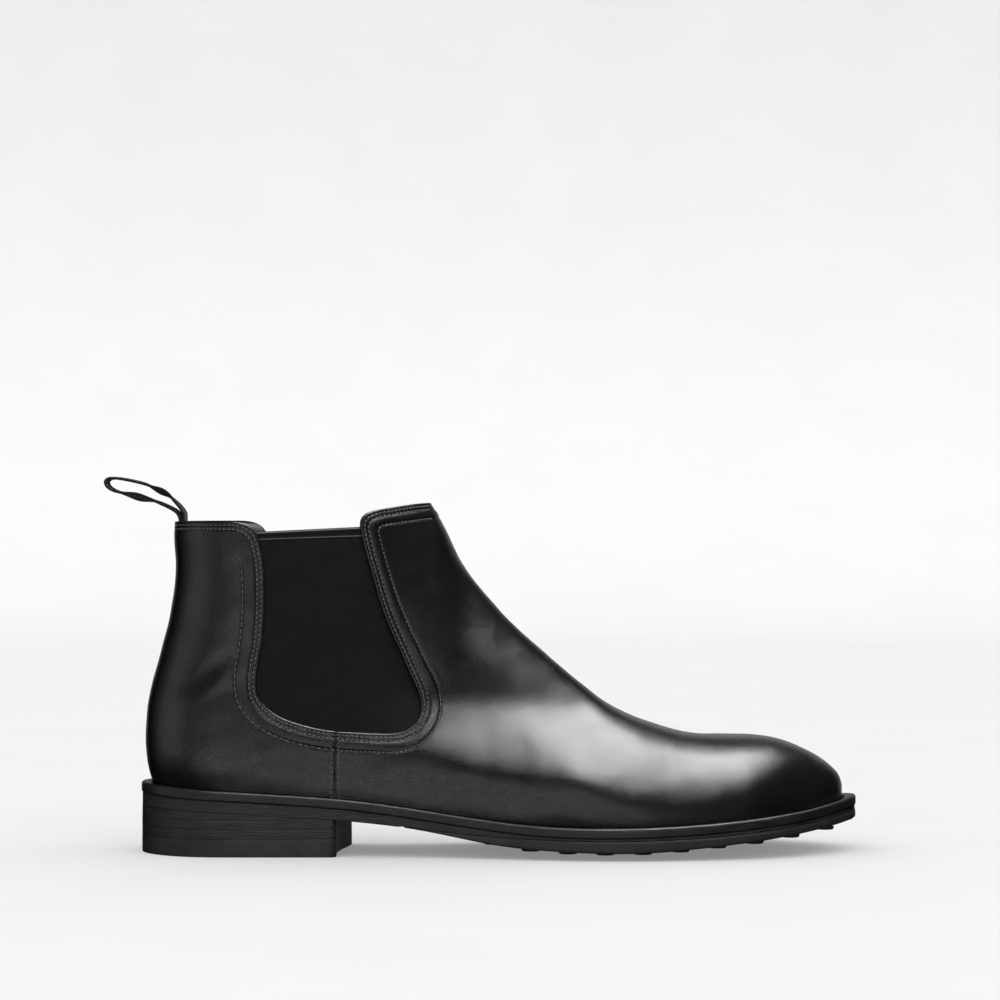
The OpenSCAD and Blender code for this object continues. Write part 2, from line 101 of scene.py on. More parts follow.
WELT_TOP = table([[0, 29.6], [22, 28.2], [48, 26.8], [84, 24.4], [107, 21.8], [132, 18.2], [153, 15.5],
                  [170, 14.0], [194, 13.4], [219, 13.9], [244, 15.3], [264, 17.2], [282, 19.2], [296, 21.6], [305, 23.2]], 5)
RIM = table([[0, 19.6], [22, 19.0], [48, 17.4], [85, 15.4], [95, 14.5], [107, 13.3], [119, 11.6], [132, 9.2],
             [144, 6.9], [153, 5.5], [165, 4.4], [178, 3.6], [194, 3.1], [208, 3.1], [220, 3.6], [230, 4.4],
             [244, 5.7], [259, 7.2], [273, 8.9], [285, 10.5], [297, 12.4], [305, 13.8]], 4)
OUT_TOP = table([[112, 13.2], [122, 11.7], [132, 10.6], [144, 9.6], [153, 9.0], [170, 8.4], [194, 8.0],
                 [219, 8.4], [244, 9.6], [264, 11.5], [282, 13.5], [296, 15.6], [305, 17.0]], 4)
BACK = table([[24, 6.8], [27, 5.6], [30, 4.4], [34, 3.4], [40, 2.6], [47, 2.1], [54, 2.0], [60, 2.5], [67, 3.5],
              [74, 4.9], [81, 6.9], [88, 9.0], [95, 10.9], [101, 12.3], [108, 13.5], [115, 14.3], [122, 14.4],
              [129, 14.1], [135, 13.8], [141, 14.1]], 2.5)
CREST = table([[60, 266], [90, 209], [105, 181.4], [115, 163], [120, 153.8], [123, 148.2], [125, 145.4], [126.7, 142.3], [128.4, 138.9],
               [130.2, 135.4], [131.8, 132], [134.9, 125.2], [139.1, 118.4], [144.3, 111.6], [150.2, 104.8], [156.6, 97.9],
               [163.8, 91.1], [171.5, 84.3], [179.2, 77.4], [187.5, 70.7], [196.2, 63.9], [203, 59.8], [211, 56.2],
               [219.5, 53.3], [229.5, 50.4], [239, 49.0], [249, 48.8], [259, 48.7], [268, 47.9], [276.5, 45.5],
               [284, 42.2], [290, 38.6], [294.4, 35.3], [297.3, 32.0], [299, 27.5]], 1.6)
SOLE_L = table([[0, 33.5], [20, 34], [45, 34.5], [75, 34.5], [100, 35], [125, 38], [150, 43.5], [175, 50],
                [200, 53.8], [215, 54], [235, 52.3], [255, 48.5], [270, 44.5], [285, 40], [305, 34]], 6)
SOLE_M = table([[0, 33.5], [20, 34], [45, 34], [75, 31.5], [100, 29.5], [125, 30.5], [150, 35.5], [175, 42.5],
                [200, 49], [220, 51.5], [240, 50.5], [255, 48], [270, 44], [285, 39.5], [305, 34]], 6)
FOOT_L = table([[0, 30], [20, 30.5], [45, 31], [75, 31.2], [100, 31.8], [125, 34.6], [150, 39.5], [175, 45],
                [200, 48.3], [215, 48.5], [235, 46.8], [255, 43.4], [270, 40.2], [285, 37.2], [299, 34]], 8)
FOOT_M = table([[0, 30], [20, 30.5], [45, 30.5], [75, 28.4], [100, 26.6], [125, 27.4], [150, 32], [175, 38.5],
                [200, 44.2], [220, 46.3], [240, 45], [255, 42.6], [270, 39.6], [285, 36.8], [299, 34]], 8)
LEG = table([[0, 32], [30, 32.2], [60, 32.2], [90, 31.6], [120, 30], [150, 28.5], [175, 30], [200, 35], [230, 41], [299, 41]], 10)
CREST_R = table([[60, 33], [118, 33], [140, 33], [160, 31], [180, 31], [200, 32], [230, 33], [260, 30], [280, 24], [290, 16], [299, 8]], 6)
MID = table([[0, 0], [140, 0], [200, 1.5], [250, 4], [305, 7]], 10)
WELT_T, X_TIP, R_BACK, R_TOE = 4.2, 299.0, 33.0, 45.0


def sstep(v):
    v = np.clip(v, 0, 1)
    return v * v * (3 - 2 * v)


def rnd(s):
    s = np.clip(s, 0, 1)
    return np.sqrt(1 - (1 - s) ** 2)


def mid_top(x):
    return WELT_TOP(x) - WELT_T


def zb(x):
    return mid_top(x) + 0.6


def slope(x):
    return CREST(x + 0.5) - CREST(x - 0.5)


def soft_slope():
    """The crest's slope, averaged over a window that narrows towards the toe."""
    g = np.arange(60, 299.01, 0.5)
    m = slope(g)
    k = np.linspace(-2.5, 2.5, 51)
    w = np.exp(-0.5 * k * k)
    w /= w.sum()
    sig = np.minimum(np.interp(g, [60, 120, 200, 250, 285, 299], [8, 8, 8, 6, 3, 0.6]), np.maximum(299 - g, 0.01) / 2.5)
    M = (np.interp(g[:, None] + sig[:, None] * k, g, m) * w).sum(1)
    return lambda x: np.interp(x, g, M)


SLOPE = soft_slope()


def half(x, z, s, d=0.0):
    x, z = np.asarray(x, float), np.asarray(z, float)
    m = SLOPE(x)
    c = 1 / np.sqrt(1 + m * m)
    h = (CREST(x) - zb(x)) * c
    toe = sstep((x - 165) / 45)                                      # squarer section over the toe
    rc = np.maximum(2, np.minimum(CREST_R(x), 0.82 * h) * (1 + 0.18 * toe) - d)
    dc = (CREST(x) - z) * c - d
    db = x - BACK(z) - d
    dt = X_TIP - d - x
    up = z - zb(x)
    hip = sstep((x - 92) / 26) * (1 - sstep((x - 182) / 34))         # the foot flares out below the ankle
    k = sstep((up - 8 - 12 * hip) / (62 - 26 * hip))
    foot = np.where(np.asarray(s) < 0, FOOT_L(x), FOOT_M(x))
    w = foot * (1 - k) + LEG(x) * (1 - 0.10 * hip) * k + 2.2 * (1 - np.exp(-np.maximum(up, 0) / 5)) * (1 - k) - d
    w = w - 1.5 * np.exp(-np.maximum(up, 0) / 1.3)                  # the upper tucks in where it meets the welt
    q = 2 + 0.6 * toe
    top = np.maximum(1 - (1 - np.clip(dc / rc, 0, 1)) ** q, 0) ** (1 / q)
    return w * top * rnd(db / (R_BACK - d)) * rnd(dt / (R_TOE - d))


def on_skin(x, z, s, d=0.0):
    x, z = np.broadcast_arrays(np.asarray(x, float), np.asarray(z, float))
    return np.stack([x, MID(x) + s * half(x, z, s, d), z], -1)


# ------------------------------------------------------------------ mesh helpers
def resample(P, t):
    """Points on a smooth curve through the rows of P, at parameters t in rows."""
    P = np.asarray(P, float)
    n = len(P) - 1
    d = np.sqrt(((P[1:] - P[:-1]) ** 2).sum(1))
    K = np.concatenate([[0], np.cumsum(np.maximum(d, 1e-6) ** 0.5)])      # centripetal knots
    a = np.maximum(np.arange(n + 1) - 1, 0)
    b = np.minimum(np.arange(n + 1) + 1, n)
    M = (P[b] - P[a]) / (K[b] - K[a])[:, None]
    i = np.clip(np.floor(t).astype(int), 0, n - 1)
    u = (t - i)[:, None]
    h = (K[i + 1] - K[i])[:, None]
    return ((2 * u**3 - 3 * u**2 + 1) * P[i] + (u**3 - 2 * u**2 + u) * M[i] * h
            + (3 * u**2 - 2 * u**3) * P[i + 1] + (u**3 - u**2) * M[i + 1] * h)


def spaced(P, step):
    """Row parameters along the curve of P about step mm apart."""
    t = np.linspace(0, len(P) - 1, (len(P) - 1) * 24 + 1)
    Q = resample(P, t)
    L = np.concatenate([[0], np.cumsum(np.sqrt(((Q[1:] - Q[:-1]) ** 2).sum(1)))])
    n = max(2, int(round(L[-1] / step)))
    return np.interp(np.linspace(0, L[-1], n + 1), L, t)


def grid_faces(n, m, base=0, flip=False):
    i, j = np.meshgrid(np.arange(n - 1), np.arange(m - 1), indexing="ij")
    a = base + i * m + j
    q = np.stack([a, a + m, a + m + 1, a + 1], -1).reshape(-1, 4)
    return q[:, ::-1] if flip else q


def weld(V, F, *attrs, tol=1e-3):
    key = np.round(V / tol).astype(np.int64)
    _, first, inv = np.unique(key, axis=0, return_index=True, return_inverse=True)
    inv = inv.reshape(-1)
    F = inv[F]
    ok = np.ones(len(F), bool)
    tri = []
    out = []
    for f in F:
        g = [f[0]]
        for v in f[1:]:
            if v != g[-1]:
                g.append(v)
        if g[0] == g[-1]:
            g.pop()
        if len(g) >= 3 and len(set(g)) == len(g):
            out.append(g)
    return V[first], out, [a[first] for a in attrs]


def vertex_normals(V, F):
    N = np.zeros_like(V)
    T = []
    for f in F:
        T.append((f[0], f[1], f[2]))
        if len(f) == 4:
            T.append((f[0], f[2], f[3]))
    T = np.array(T)
    n = np.cross(V[T[:, 1]] - V[T[:, 0]], V[T[:, 2]] - V[T[:, 0]])
    for k in range(3):
        np.add.at(N, T[:, k], n)
    L = np.linalg.norm(N, axis=1)
    L[L == 0] = 1
    return N / L[:, None]


def outward(V, F):
    """Turn the skin so that its faces look out of the boot."""
    N = vertex_normals(V, F)
    side = V[:, 1] - MID(V[:, 0])
    if (N[:, 1] * side).sum() < 0:
        F = [list(f)[::-1] for f in F]
        N = -N
    return F, N


def thicken(V, F, t, N=None):
    """Closed shell: the skin V, F and its copy t below it, joined round the edges."""
    if N is None:
        N = vertex_normals(V, F)
    n = len(V)
    t = np.broadcast_to(np.asarray(t, float), (n,))
    W = np.concatenate([V, V - N * t[:, None]])
    count = {}
    for f in F:
        for a, b in zip(f, f[1:] + f[:1]):
            count[(a, b)] = count.get((a, b), 0) + 1
    out = [list(f) for f in F] + [[v + n for v in f[::-1]] for f in F]
    for (a, b) in count:
        if (b, a) not in count:
            out.append([b, a, a + n, b + n])
    return W, out


def to_object(name, V, F, sharp=40):
    V = np.asarray(V, float)
    me = bpy.data.meshes.new(name)
    me.from_pydata(((V - [HEEL_MID, 0, 0]) / 1000).tolist(), [], [list(map(int, f)) for f in F])
    me.validate()
    me.update()
    ob = bpy.data.objects.new(name, me)
    bpy.context.scene.collection.objects.link(ob)
    me.shade_smooth()
    if sharp:
        me.set_sharp_from_angle(angle=math.radians(sharp))
    return ob


# =====================================================================================
# Pattern lines on the side of the boot (x, z), the same on both sides
# =====================================================================================
# window and collar edge of the vamp, from the side seam round to the crest
VAMP_EDGE = np.array([(84.02, 52.6), (90, 52.3), (95.5, 52.0), (101, 51.8), (106.8, 51.8), (111, 52.4), (114.2, 53.7),
                      (116.8, 55.7), (118.6, 58.3), (119.4, 61.4), (119.4, 64.6), (118.6, 68.3), (116.9, 72.2),
                      (114.9, 76.4), (112.9, 81), (110.8, 86), (108.5, 91), (106.2, 96.4), (104.2, 101.6), (102.4, 107),
                      (100.9, 112), (99.5, 117.2), (98.1, 122), (96.8, 126.8), (95.6, 131.4), (94.8, 135.4),
                      (94.4, 138.6), (94.8, 141), (96.3, 143), (98.9, 144.4), (102.5, 145.4), (107, 146.2), (112, 147),
                      (117.3, 147.8), (121.5, 148.15), (122.9, 148.25)])
VAMP_IN = np.array([(84.02, 42.6), (90, 42.3), (96, 42.0), (103, 41.8), (110, 42.0), (116, 43.4), (121, 46.3),
                    (125.5, 50.8), (128.2, 55.6), (129.5, 60.6), (129.4, 65.8), (128.2, 71.6), (126.2, 76.6),
                    (124.2, 80.8), (122.1, 85.2), (120, 90), (117.6, 95), (115.3, 100.4), (113.4, 105.4), (111.8, 110),
                    (110.3, 114.6), (109, 119.2), (107.7, 123.7), (106.5, 128), (105.4, 131.8), (104.7, 134.4),
                    (104.3, 135.6), (104.5, 136.2), (105.1, 136.5), (106.2, 136.7), (108.4, 136.9), (111, 137.2),
                    (115, 137.7), (120, 138.4), (125, 139.0), (128.3, 139.2)])
VAMP_FOOT = np.array([84.02, 90, 95.5, 101, 106, 111, 116, 121, 127, 133, 140, 147, 153, 158, 162, 165, 167.4, 169.3, 170.9, 172.2,
                      173.4, 174.5, 175.5, 176.4, 177.2, 177.8, 178.3, 178.7, 179.1, 179.5, 180, 180.5, 181, 181.4, 181.8, 182])
# crest below the collar band: (x on the crest, x at the foot)
CREST_RIBS = np.array([(128.3, 182), (131.8, 184.2), (137.2, 187), (144.3, 190.5), (153.3, 194.5), (163.8, 199), (175.3, 204.5),
                       (187.5, 210.5), (198, 216), (208, 222), (219.5, 229), (230, 236), (240, 243.5), (250, 251.5), (259.4, 260),
                       (268, 267.5), (276.5, 275.5), (284, 282.5), (290, 288.4), (294.4, 293), (297.3, 296.5), (298.4, 298.1), (299, 299)])
# window and collar edge of the quarter, from the side seam round to the back line
QUARTER_EDGE = np.array([(83.98, 52.7), (78, 53.5), (73, 54.6), (68.5, 55.8), (64.3, 57.2), (60.5, 58.9), (57.4, 60.9),
                         (54.8, 63.1), (52.8, 65.6), (51.5, 68.6), (51.1, 72), (51.2, 76), (51.8, 80), (52.6, 84.4),
                         (53.4, 89), (53.9, 94.4), (54.3, 100), (54.5, 106), (54.5, 112), (54.4, 118), (54.0, 123),
                         (53.2, 127.6), (52.3, 131.6), (51, 135), (49.4, 137.3), (47, 138.9), (43.8, 139.8), (40, 140.15),
                         (34, 140.2), (28, 140.2), (22, 140.2), (17, 140.15), (14.05, 140.1)])
QUARTER_IN = np.array([(83.98, 42.7), (76.5, 43.5), (70.5, 44.8), (65, 46.3), (60, 48.2), (55, 50.8), (50.8, 53.7),
                       (46.9, 57.3), (43.9, 61.2), (41.9, 65.7), (41.1, 71), (41.2, 76.2), (41.9, 81), (42.7, 85.6),
                       (43.4, 90.4), (43.9, 95.2), (44.3, 100.6), (44.5, 106), (44.5, 112), (44.3, 117), (43.9, 121.2),
                       (43.3, 124.6), (42.7, 127), (42, 128.6), (41.2, 129.5), (40.2, 129.9), (38.5, 130.15), (35.5, 130.2),
                       (31, 130.2), (26, 130.2), (21, 130.2), (16.6, 130.2), (14.05, 130.2)])
QUARTER_FOOT = np.array([83.98, 77, 71.5, 66.5, 62, 58, 54, 50, 46, 42.5, 39.5, 37, 35, 33, 31.5, 30.2, 29, 28, 27, 26.2, 25.4, 24.8,
                         24.2, 23.8, 23.4, 23, 22.2, 20.8, 18.8, 16, 12.8, 9, 6.2])
# distance of the outer stitch row from the edge, by row of the two edge tables, in mm
OUT_V = np.interp(np.arange(36), [0, 4, 8, 11, 14, 20, 25, 28, 35], [7.9, 8.0, 8.3, 8.4, 7.9, 7.3, 7.3, 7.4, 7.4])
OUT_Q = np.interp(np.arange(33), [0, 4, 8, 12, 16, 20, 32], [7.9, 8.2, 9.0, 9.4, 9.3, 9.3, 9.3])


def squeeze(n):
    """0..1 in n steps, fine towards 1."""
    t = np.linspace(0, 1, n + 1)
    return 1 - (1 - t) ** 2


# steps down from an edge, in parts of the 10 mm band: fine at the edge and at the stitch rows
BAND = np.concatenate([[0, .008, .02, .035, .055, .08, .105, .13, .16, .19, .22, .255, .29, .33, .37, .41, .46],
                       np.linspace(.5, 1, 17)])


def edge_relief(dist, out, puffed=1.0, fade=0.0):
    """Height of the leather over its plain skin near a stitched edge, in mm; dist from the edge, out the outer row's."""
    r = np.where(dist < 0.9, -(0.9 - np.sqrt(np.maximum(0, 0.81 - (0.9 - np.minimum(dist, 0.9)) ** 2))) * 0.75, 0)
    r = r - 0.2 * np.exp(-((dist - 1.6) / 0.42) ** 2) - 0.2 * np.exp(-((dist - 3.3) / 0.42) ** 2)
    puff = sstep((dist - 3.5) / 1.6) * sstep((out - dist) / 1.6)
    r = r + 0.20 * puff * puffed * (1 - 0.8 * fade) - 0.22 * np.exp(-((dist - out) / 0.5) ** 2) * puffed * (1 - fade)
    return r


def waves(x, z, s):
    """Soft hand-made undulation of lasted leather, in mm."""
    x, z = np.asarray(x, float), np.asarray(z, float)
    r = 0.16 * np.sin(x * 0.105 + z * 0.19 + s) * np.sin(z * 0.083 - x * 0.051 + 1.3 * s)
    r = r + 0.07 * np.sin(x * 0.31 - z * 0.22 + 2 * s) * np.sin(z * 0.27 + x * 0.12)
    # soft hollow behind the ankle and the slack fold that runs down from it
    r = r - 1.2 * np.exp(-(((x - 28) / 16) ** 2 + ((z - 76) / 12) ** 2))
    r = r + 1.1 * np.exp(-(((x - 34) / 30) ** 2 + ((z - 43) / 12) ** 2))
    a = (x - 30) * 0.80 + (z - 74) * 0.60
    b = -(x - 30) * 0.60 + (z - 74) * 0.80
    r = r - 0.5 * np.exp(-((a / 15) ** 2 + ((b - 3) / 3.4) ** 2)) + 0.45 * np.exp(-((a / 16) ** 2 + ((b + 4) / 3.6) ** 2))
    return r * sstep((z - zb(x)) / 12)


def vamp_skin(d=0.0, fine=1.0, drop=0.0, plain=False):
    """Both sides of the vamp as one welded skin at depth d: V, F, relief."""
    VV, FF, RR, base = [], [], [], 0
    tb = spaced(VAMP_EDGE, 0.8 / fine)
    # finer columns where the band meets the crest
    tail = tb[-1] - 3.2
    tb = np.concatenate([tb[tb < tail], tail + (tb[-1] - tail) * squeeze(int(22 * fine))])
    E, I = resample(VAMP_EDGE, tb), resample(VAMP_IN, tb)
    B = np.interp(tb, np.arange(36), VAMP_FOOT)
    OV = np.interp(tb, np.arange(36), OUT_V)
    vb = BAND if fine >= 1 else BAND[::2]
    if vb[-1] != 1:
        vb = np.append(vb, 1.0)
    zc = E[-1, 1] + (I[-1, 1] - E[-1, 1]) * vb                       # last column lies on the crest
    xs = np.linspace(118, 135, 400)
    xc = np.interp(-zc, -CREST(xs), xs)
    for s in (-1, 1):
        X = E[:, None, 0] + (I[:, None, 0] - E[:, None, 0]) * vb
        Z = E[:, None, 1] + (I[:, None, 1] - E[:, None, 1]) * vb
        w = sstep((tb - (tb[-1] - 3.2)) / 3.2)[:, None]
        X = X + (xc - X[-1])[None, :] * w
        Z = Z + (zc - Z[-1])[None, :] * w
        D = vb[None, :] * 10.0 * np.ones_like(X)
        R = np.zeros_like(X) if plain else edge_relief(D, OV[:, None]) + waves(X, Z, s)
        depth = d if not plain else d - 1.3 * (1 - sstep(D / 7.0)) * sstep((Z - 137) / 3)
        if drop:
            Z = Z - drop * sstep((Z - 136) / 3) * (1 - vb)[None, :]
        m = slope(X)
        q = 1 / np.sqrt(1 + m * m)
        if d:
            X = X + w * depth * m * q
            Z = Z - w * depth * q * (vb > 0)
        P = on_skin(X, Z, s, depth)
        P[-1, :, 1] = MID(P[-1, :, 0])
        VV.append(P.reshape(-1, 3)); RR.append(R.reshape(-1))
        FF.append(grid_faces(len(tb), len(vb), base, s > 0)); base += P.shape[0] * P.shape[1]
        # main part: from the foot edge up to the band and the crest
        tc = spaced(np.stack([CREST_RIBS[:, 0], CREST(CREST_RIBS[:, 0])], 1), 1.7 / fine)
        te = len(CREST_RIBS) - 1
        tc = np.concatenate([tc[tc < te - 5], te - 5 + 5 * squeeze(int(30 * fine))])
        CX = np.interp(tc, np.arange(len(CREST_RIBS)), CREST_RIBS[:, 0])
        tail2 = len(CREST_RIBS) - 1
        BX = np.interp(tc, np.arange(len(CREST_RIBS)), CREST_RIBS[:, 1])
        TX = np.concatenate([I[:, 0], CX[1:]])
        TZ = np.concatenate([I[:, 1], CREST(CX[1:])])
        # the band's inner edge after its pull to the crest
        TX[:len(tb)] = X[:, -1] if not d else (I[:, 0] + (xc[-1] - I[-1, 0]) * w[:, 0])
        TZ[:len(tb)] = Z[:, -1] if not d else (I[:, 1] + (zc[-1] - I[-1, 1]) * w[:, 0])
        BX = np.concatenate([B, BX[1:]])
        BX = BX + (CREST_RIBS[0, 1] - B[-1]) * np.concatenate([sstep((tb - tb[-1] + 3.2) / 3.2), np.ones(len(CX) - 1)])
        v = squeeze(int(46 * fine))
        on = np.arange(len(TX)) >= len(tb) - 1                        # ribs that end on the crest
        bx = BX - d * np.clip((BX - 255) / 44, 0, 1)
        m = slope(np.minimum(TX, 298))
        q = 1 / np.sqrt(1 + m * m)
        if d:
            wd = np.concatenate([w[:, 0], np.ones(len(CX) - 1)])
            TX = TX + wd * d * m * q
            TZ = TZ - wd * d * q
        X = bx[:, None] + (TX - bx)[:, None] * v
        Z = zb(bx)[:, None] + (TZ - zb(bx))[:, None] * v
        R = np.zeros_like(X) if plain else waves(X, Z, s)
        P = on_skin(X, Z, s, d)
        P[on, -1, 1] = MID(P[on, -1, 0])
        P[-1, :, 1] = MID(P[-1, :, 0])
        low = s * (P[..., 1] - MID(P[..., 0]))
        fixed = np.zeros_like(X, bool); fixed[on, -1] = True; fixed[-1, :] = True
        P[..., 1] = np.where((low < 0.25) & ~fixed, MID(P[..., 0]) + s * 0.25, P[..., 1])
        VV.append(P.reshape(-1, 3)); RR.append(R.reshape(-1))
        FF.append(grid_faces(len(TX), len(v), base, s < 0)); base += P.shape[0] * P.shape[1]
    V, F, (R,) = weld(np.concatenate(VV), np.concatenate(FF), np.concatenate(RR), tol=2e-3)
    return V, F, R


def quarter_skin(s, d=0.0, fine=1.0, drop=0.0, plain=False, both=False):
    VV, FF, RR, base = [], [], [], 0
    for s in ((-1, 1) if both else (s,)):
        tb = spaced(QUARTER_EDGE, 0.8 / fine)
        tail = 28.0
        tb = np.concatenate([tb[tb < tail], tail + (tb[-1] - tail) * squeeze(int(34 * fine))])
        E, I = resample(QUARTER_EDGE, tb), resample(QUARTER_IN, tb)
        B = np.interp(tb, np.arange(33), QUARTER_FOOT)
        OV = np.interp(tb, np.arange(33), OUT_Q)
        w = sstep((tb - 24) / 4)[:, None]                             # top line of the rear collar
        vb = BAND if fine >= 1 else BAND[::2]
        if vb[-1] != 1:
            vb = np.append(vb, 1.0)
        X = E[:, None, 0] + (I[:, None, 0] - E[:, None, 0]) * vb
        Z = E[:, None, 1] + (I[:, None, 1] - E[:, None, 1]) * vb
        off = (X - BACK(Z)) * (1 - (np.abs(tb - tb[-1]) < 1e-9))[:, None]
        X = BACK(Z) + off
        D = vb[None, :] * 10.0 * np.ones_like(X)
        # the outer row stops below the rear collar
        out = np.where(w > 0.5, 30.0, OV[:, None])
        R = np.zeros_like(X) if plain else edge_relief(D, OV[:, None], 1 - w, sstep((Z - 121) / 7)) + waves(X, Z, s)
        depth = d if not plain else d - 1.3 * (1 - sstep(D / 7.0)) * sstep((Z - 136.4) / 3) * sstep((X - 24) / 8)
        if drop:
            Z = Z - drop * sstep((Z - 134) / 3) * (1 - vb)[None, :]
        inset = depth * np.clip(1 - off / 30.0, 0, 1)
        P = on_skin(X + inset * (1 if d else 0), Z, s, depth)
        P[-1, :, 1] = 0
        VV.append(P.reshape(-1, 3)); RR.append(R.reshape(-1))
        FF.append(grid_faces(len(tb), len(vb), base, s < 0)); base += P.shape[0] * P.shape[1]
        v = np.linspace(0, 1, int(60 * fine) + 1)
        TX, TZ = X[:, -1], Z[:, -1]
        zf = zb(B)
        Zm = zf[:, None] + (TZ - zf)[:, None] * v
        ob = np.maximum(B - BACK(zf), 0.02 * (len(tb) - 1 - np.arange(len(tb))))
        ob[-1] = 0
        ot = TX - BACK(TZ)
        ot[-1] = 0
        off = ob[:, None] + (ot - ob)[:, None] * v
        # columns bunch towards the back line
        Xm = BACK(Zm) + off
        R = np.zeros_like(Xm) if plain else waves(Xm, Zm, s)
        inset = d * np.clip(1 - off / 30.0, 0, 1)
        P = on_skin(Xm + inset, Zm, s, d)
        P[-1, :, 1] = 0
        VV.append(P.reshape(-1, 3)); RR.append(R.reshape(-1))
        FF.append(grid_faces(len(tb), len(v), base, s > 0)); base += P.shape[0] * P.shape[1]
    V, F, (R,) = weld(np.concatenate(VV), np.concatenate(FF), np.concatenate(RR), tol=2e-3)
    return V, F, R


# =====================================================================================
# Materials
# =====================================================================================
def material(name, color, rough, **k):
    m = bpy.data.materials.new(name)
    m.use_nodes = True
    nt = m.node_tree
    b = nt.nodes["Principled BSDF"]
    b.inputs["Base Color"].default_value = (*color, 1)
    b.inputs["Roughness"].default_value = rough
    for key, v in k.items():
        b.inputs[key.replace("_", " ")].default_value = v
    return m, nt, b


def node(nt, kind, **k):
    n = nt.nodes.new(kind)
    for key, v in k.items():
        setattr(n, key, v)
    return n


def coords(nt, scale=(1, 1, 1), rot=(0, 0, 0), attr=None):
    """Object coordinates (or the stored surface coordinates attr) in metres, scaled."""
    if attr:
        a = node(nt, "ShaderNodeAttribute", attribute_name=attr)
        src = a.outputs["Vector"]
    else:
        src = node(nt, "ShaderNodeTexCoord").outputs["Object"]
    mp = node(nt, "ShaderNodeMapping")
    mp.inputs["Scale"].default_value = scale
    mp.inputs["Rotation"].default_value = rot
    nt.links.new(src, mp.inputs["Vector"])
    return mp.outputs["Vector"]


def noise(nt, vec, scale, detail=3, rough=0.5, dist=0.0):
    n = node(nt, "ShaderNodeTexNoise")
    n.inputs["Scale"].default_value = scale
    n.inputs["Detail"].default_value = detail
    n.inputs["Roughness"].default_value = rough
    n.inputs["Distortion"].default_value = dist
    nt.links.new(vec, n.inputs["Vector"])
    return n.outputs["Fac"]


def voronoi(nt, vec, scale, feature="DISTANCE_TO_EDGE", rnd_=1.0):
    n = node(nt, "ShaderNodeTexVoronoi", feature=feature)
    n.inputs["Scale"].default_value = scale
    n.inputs["Randomness"].default_value = rnd_
    nt.links.new(vec, n.inputs["Vector"])
    return n.outputs["Distance"]


def wave(nt, vec, scale, direction="Z", profile="SIN", dist=0.0, dscale=1.0):
    n = node(nt, "ShaderNodeTexWave", wave_type="BANDS", bands_direction=direction, wave_profile=profile)
    n.inputs["Scale"].default_value = scale
    n.inputs["Distortion"].default_value = dist
    n.inputs["Detail Scale"].default_value = dscale
    nt.links.new(vec, n.inputs["Vector"])
    return n.outputs["Fac"]


def ramp(nt, fac, stops):
    n = node(nt, "ShaderNodeValToRGB")
    e = n.color_ramp.elements
    while len(e) < len(stops):
        e.new(0.5)
    for i, (p, c) in enumerate(stops):
        e[i].position = p
        e[i].color = (*(c if hasattr(c, "__len__") else (c, c, c)), 1)
    nt.links.new(fac, n.inputs["Fac"])
    return n.outputs["Color"]


def span(nt, fac, lo, hi, a=0.0, b=1.0):
    n = node(nt, "ShaderNodeMapRange")
    for key, v in (("From Min", lo), ("From Max", hi), ("To Min", a), ("To Max", b)):
        n.inputs[key].default_value = v
    nt.links.new(fac, n.inputs["Value"])
    return n.outputs["Result"]


def calc(nt, op, a, b):
    n = node(nt, "ShaderNodeMath", operation=op)
    for i, v in enumerate((a, b)):
        if isinstance(v, (int, float)):
            n.inputs[i].default_value = v
        else:
            nt.links.new(v, n.inputs[i])
    return n.outputs[0]


def bumps(nt, b, *layers):
    """Stack of bumps (height socket, strength, distance in metres)."""
    last = None
    for h, s, d in layers:
        n = node(nt, "ShaderNodeBump")
        n.inputs["Strength"].default_value = s
        n.inputs["Distance"].default_value = d
        nt.links.new(h, n.inputs["Height"])
        if last is not None:
            nt.links.new(last, n.inputs["Normal"])
        last = n.outputs["Normal"]
    nt.links.new(last, b.inputs["Normal"])


def leather(name, color, light, rough, coat, coat_rough, grain=1.0, edge=True):
    m, nt, b = material(name, color, rough, Coat_Weight=coat, Coat_Roughness=coat_rough, Specular_IOR_Level=0.5)
    v = coords(nt)
    soft = noise(nt, v, 34, 3, 0.55)
    fine = noise(nt, v, 900, 4, 0.6)
    cells = voronoi(nt, v, 1500)
    cells2 = voronoi(nt, v, 720)
    tone = calc(nt, "ADD", calc(nt, "MULTIPLY", soft, 0.7), calc(nt, "MULTIPLY", fine, 0.3))
    nt.links.new(ramp(nt, tone, [(0.3, color), (0.72, light)]), b.inputs["Base Color"])
    r = calc(nt, "ADD", span(nt, soft, 0.3, 0.7, rough - 0.013, rough + 0.013), span(nt, fine, 0.3, 0.7, -0.01, 0.01))
    nt.links.new(r, b.inputs["Roughness"])
    pores = span(nt, cells, 0.0, 0.16, 0, 1)
    creas = span(nt, cells2, 0.0, 0.10, 0, 1)
    bumps(nt, b, (noise(nt, v, 110, 3, 0.5), 0.08, 0.0012), (creas, 0.16 * grain, 0.00012), (pores, 0.26 * grain, 0.00012), (fine, 0.20 * grain, 0.00010))
    return m


M_UPPER = leather("upper_leather_black", (0.0020, 0.0020, 0.0022), (0.0042, 0.0041, 0.0043), 0.246, 0.0, 0.24)
M_LINING = leather("lining_leather_dark", (0.014, 0.0128, 0.012), (0.030, 0.027, 0.025), 0.55, 0.0, 0.3, 1.3)
M_SOCK = leather("sock_leather_dark", (0.050, 0.044, 0.040), (0.095, 0.083, 0.074), 0.52, 0.05, 0.3, 1.2)


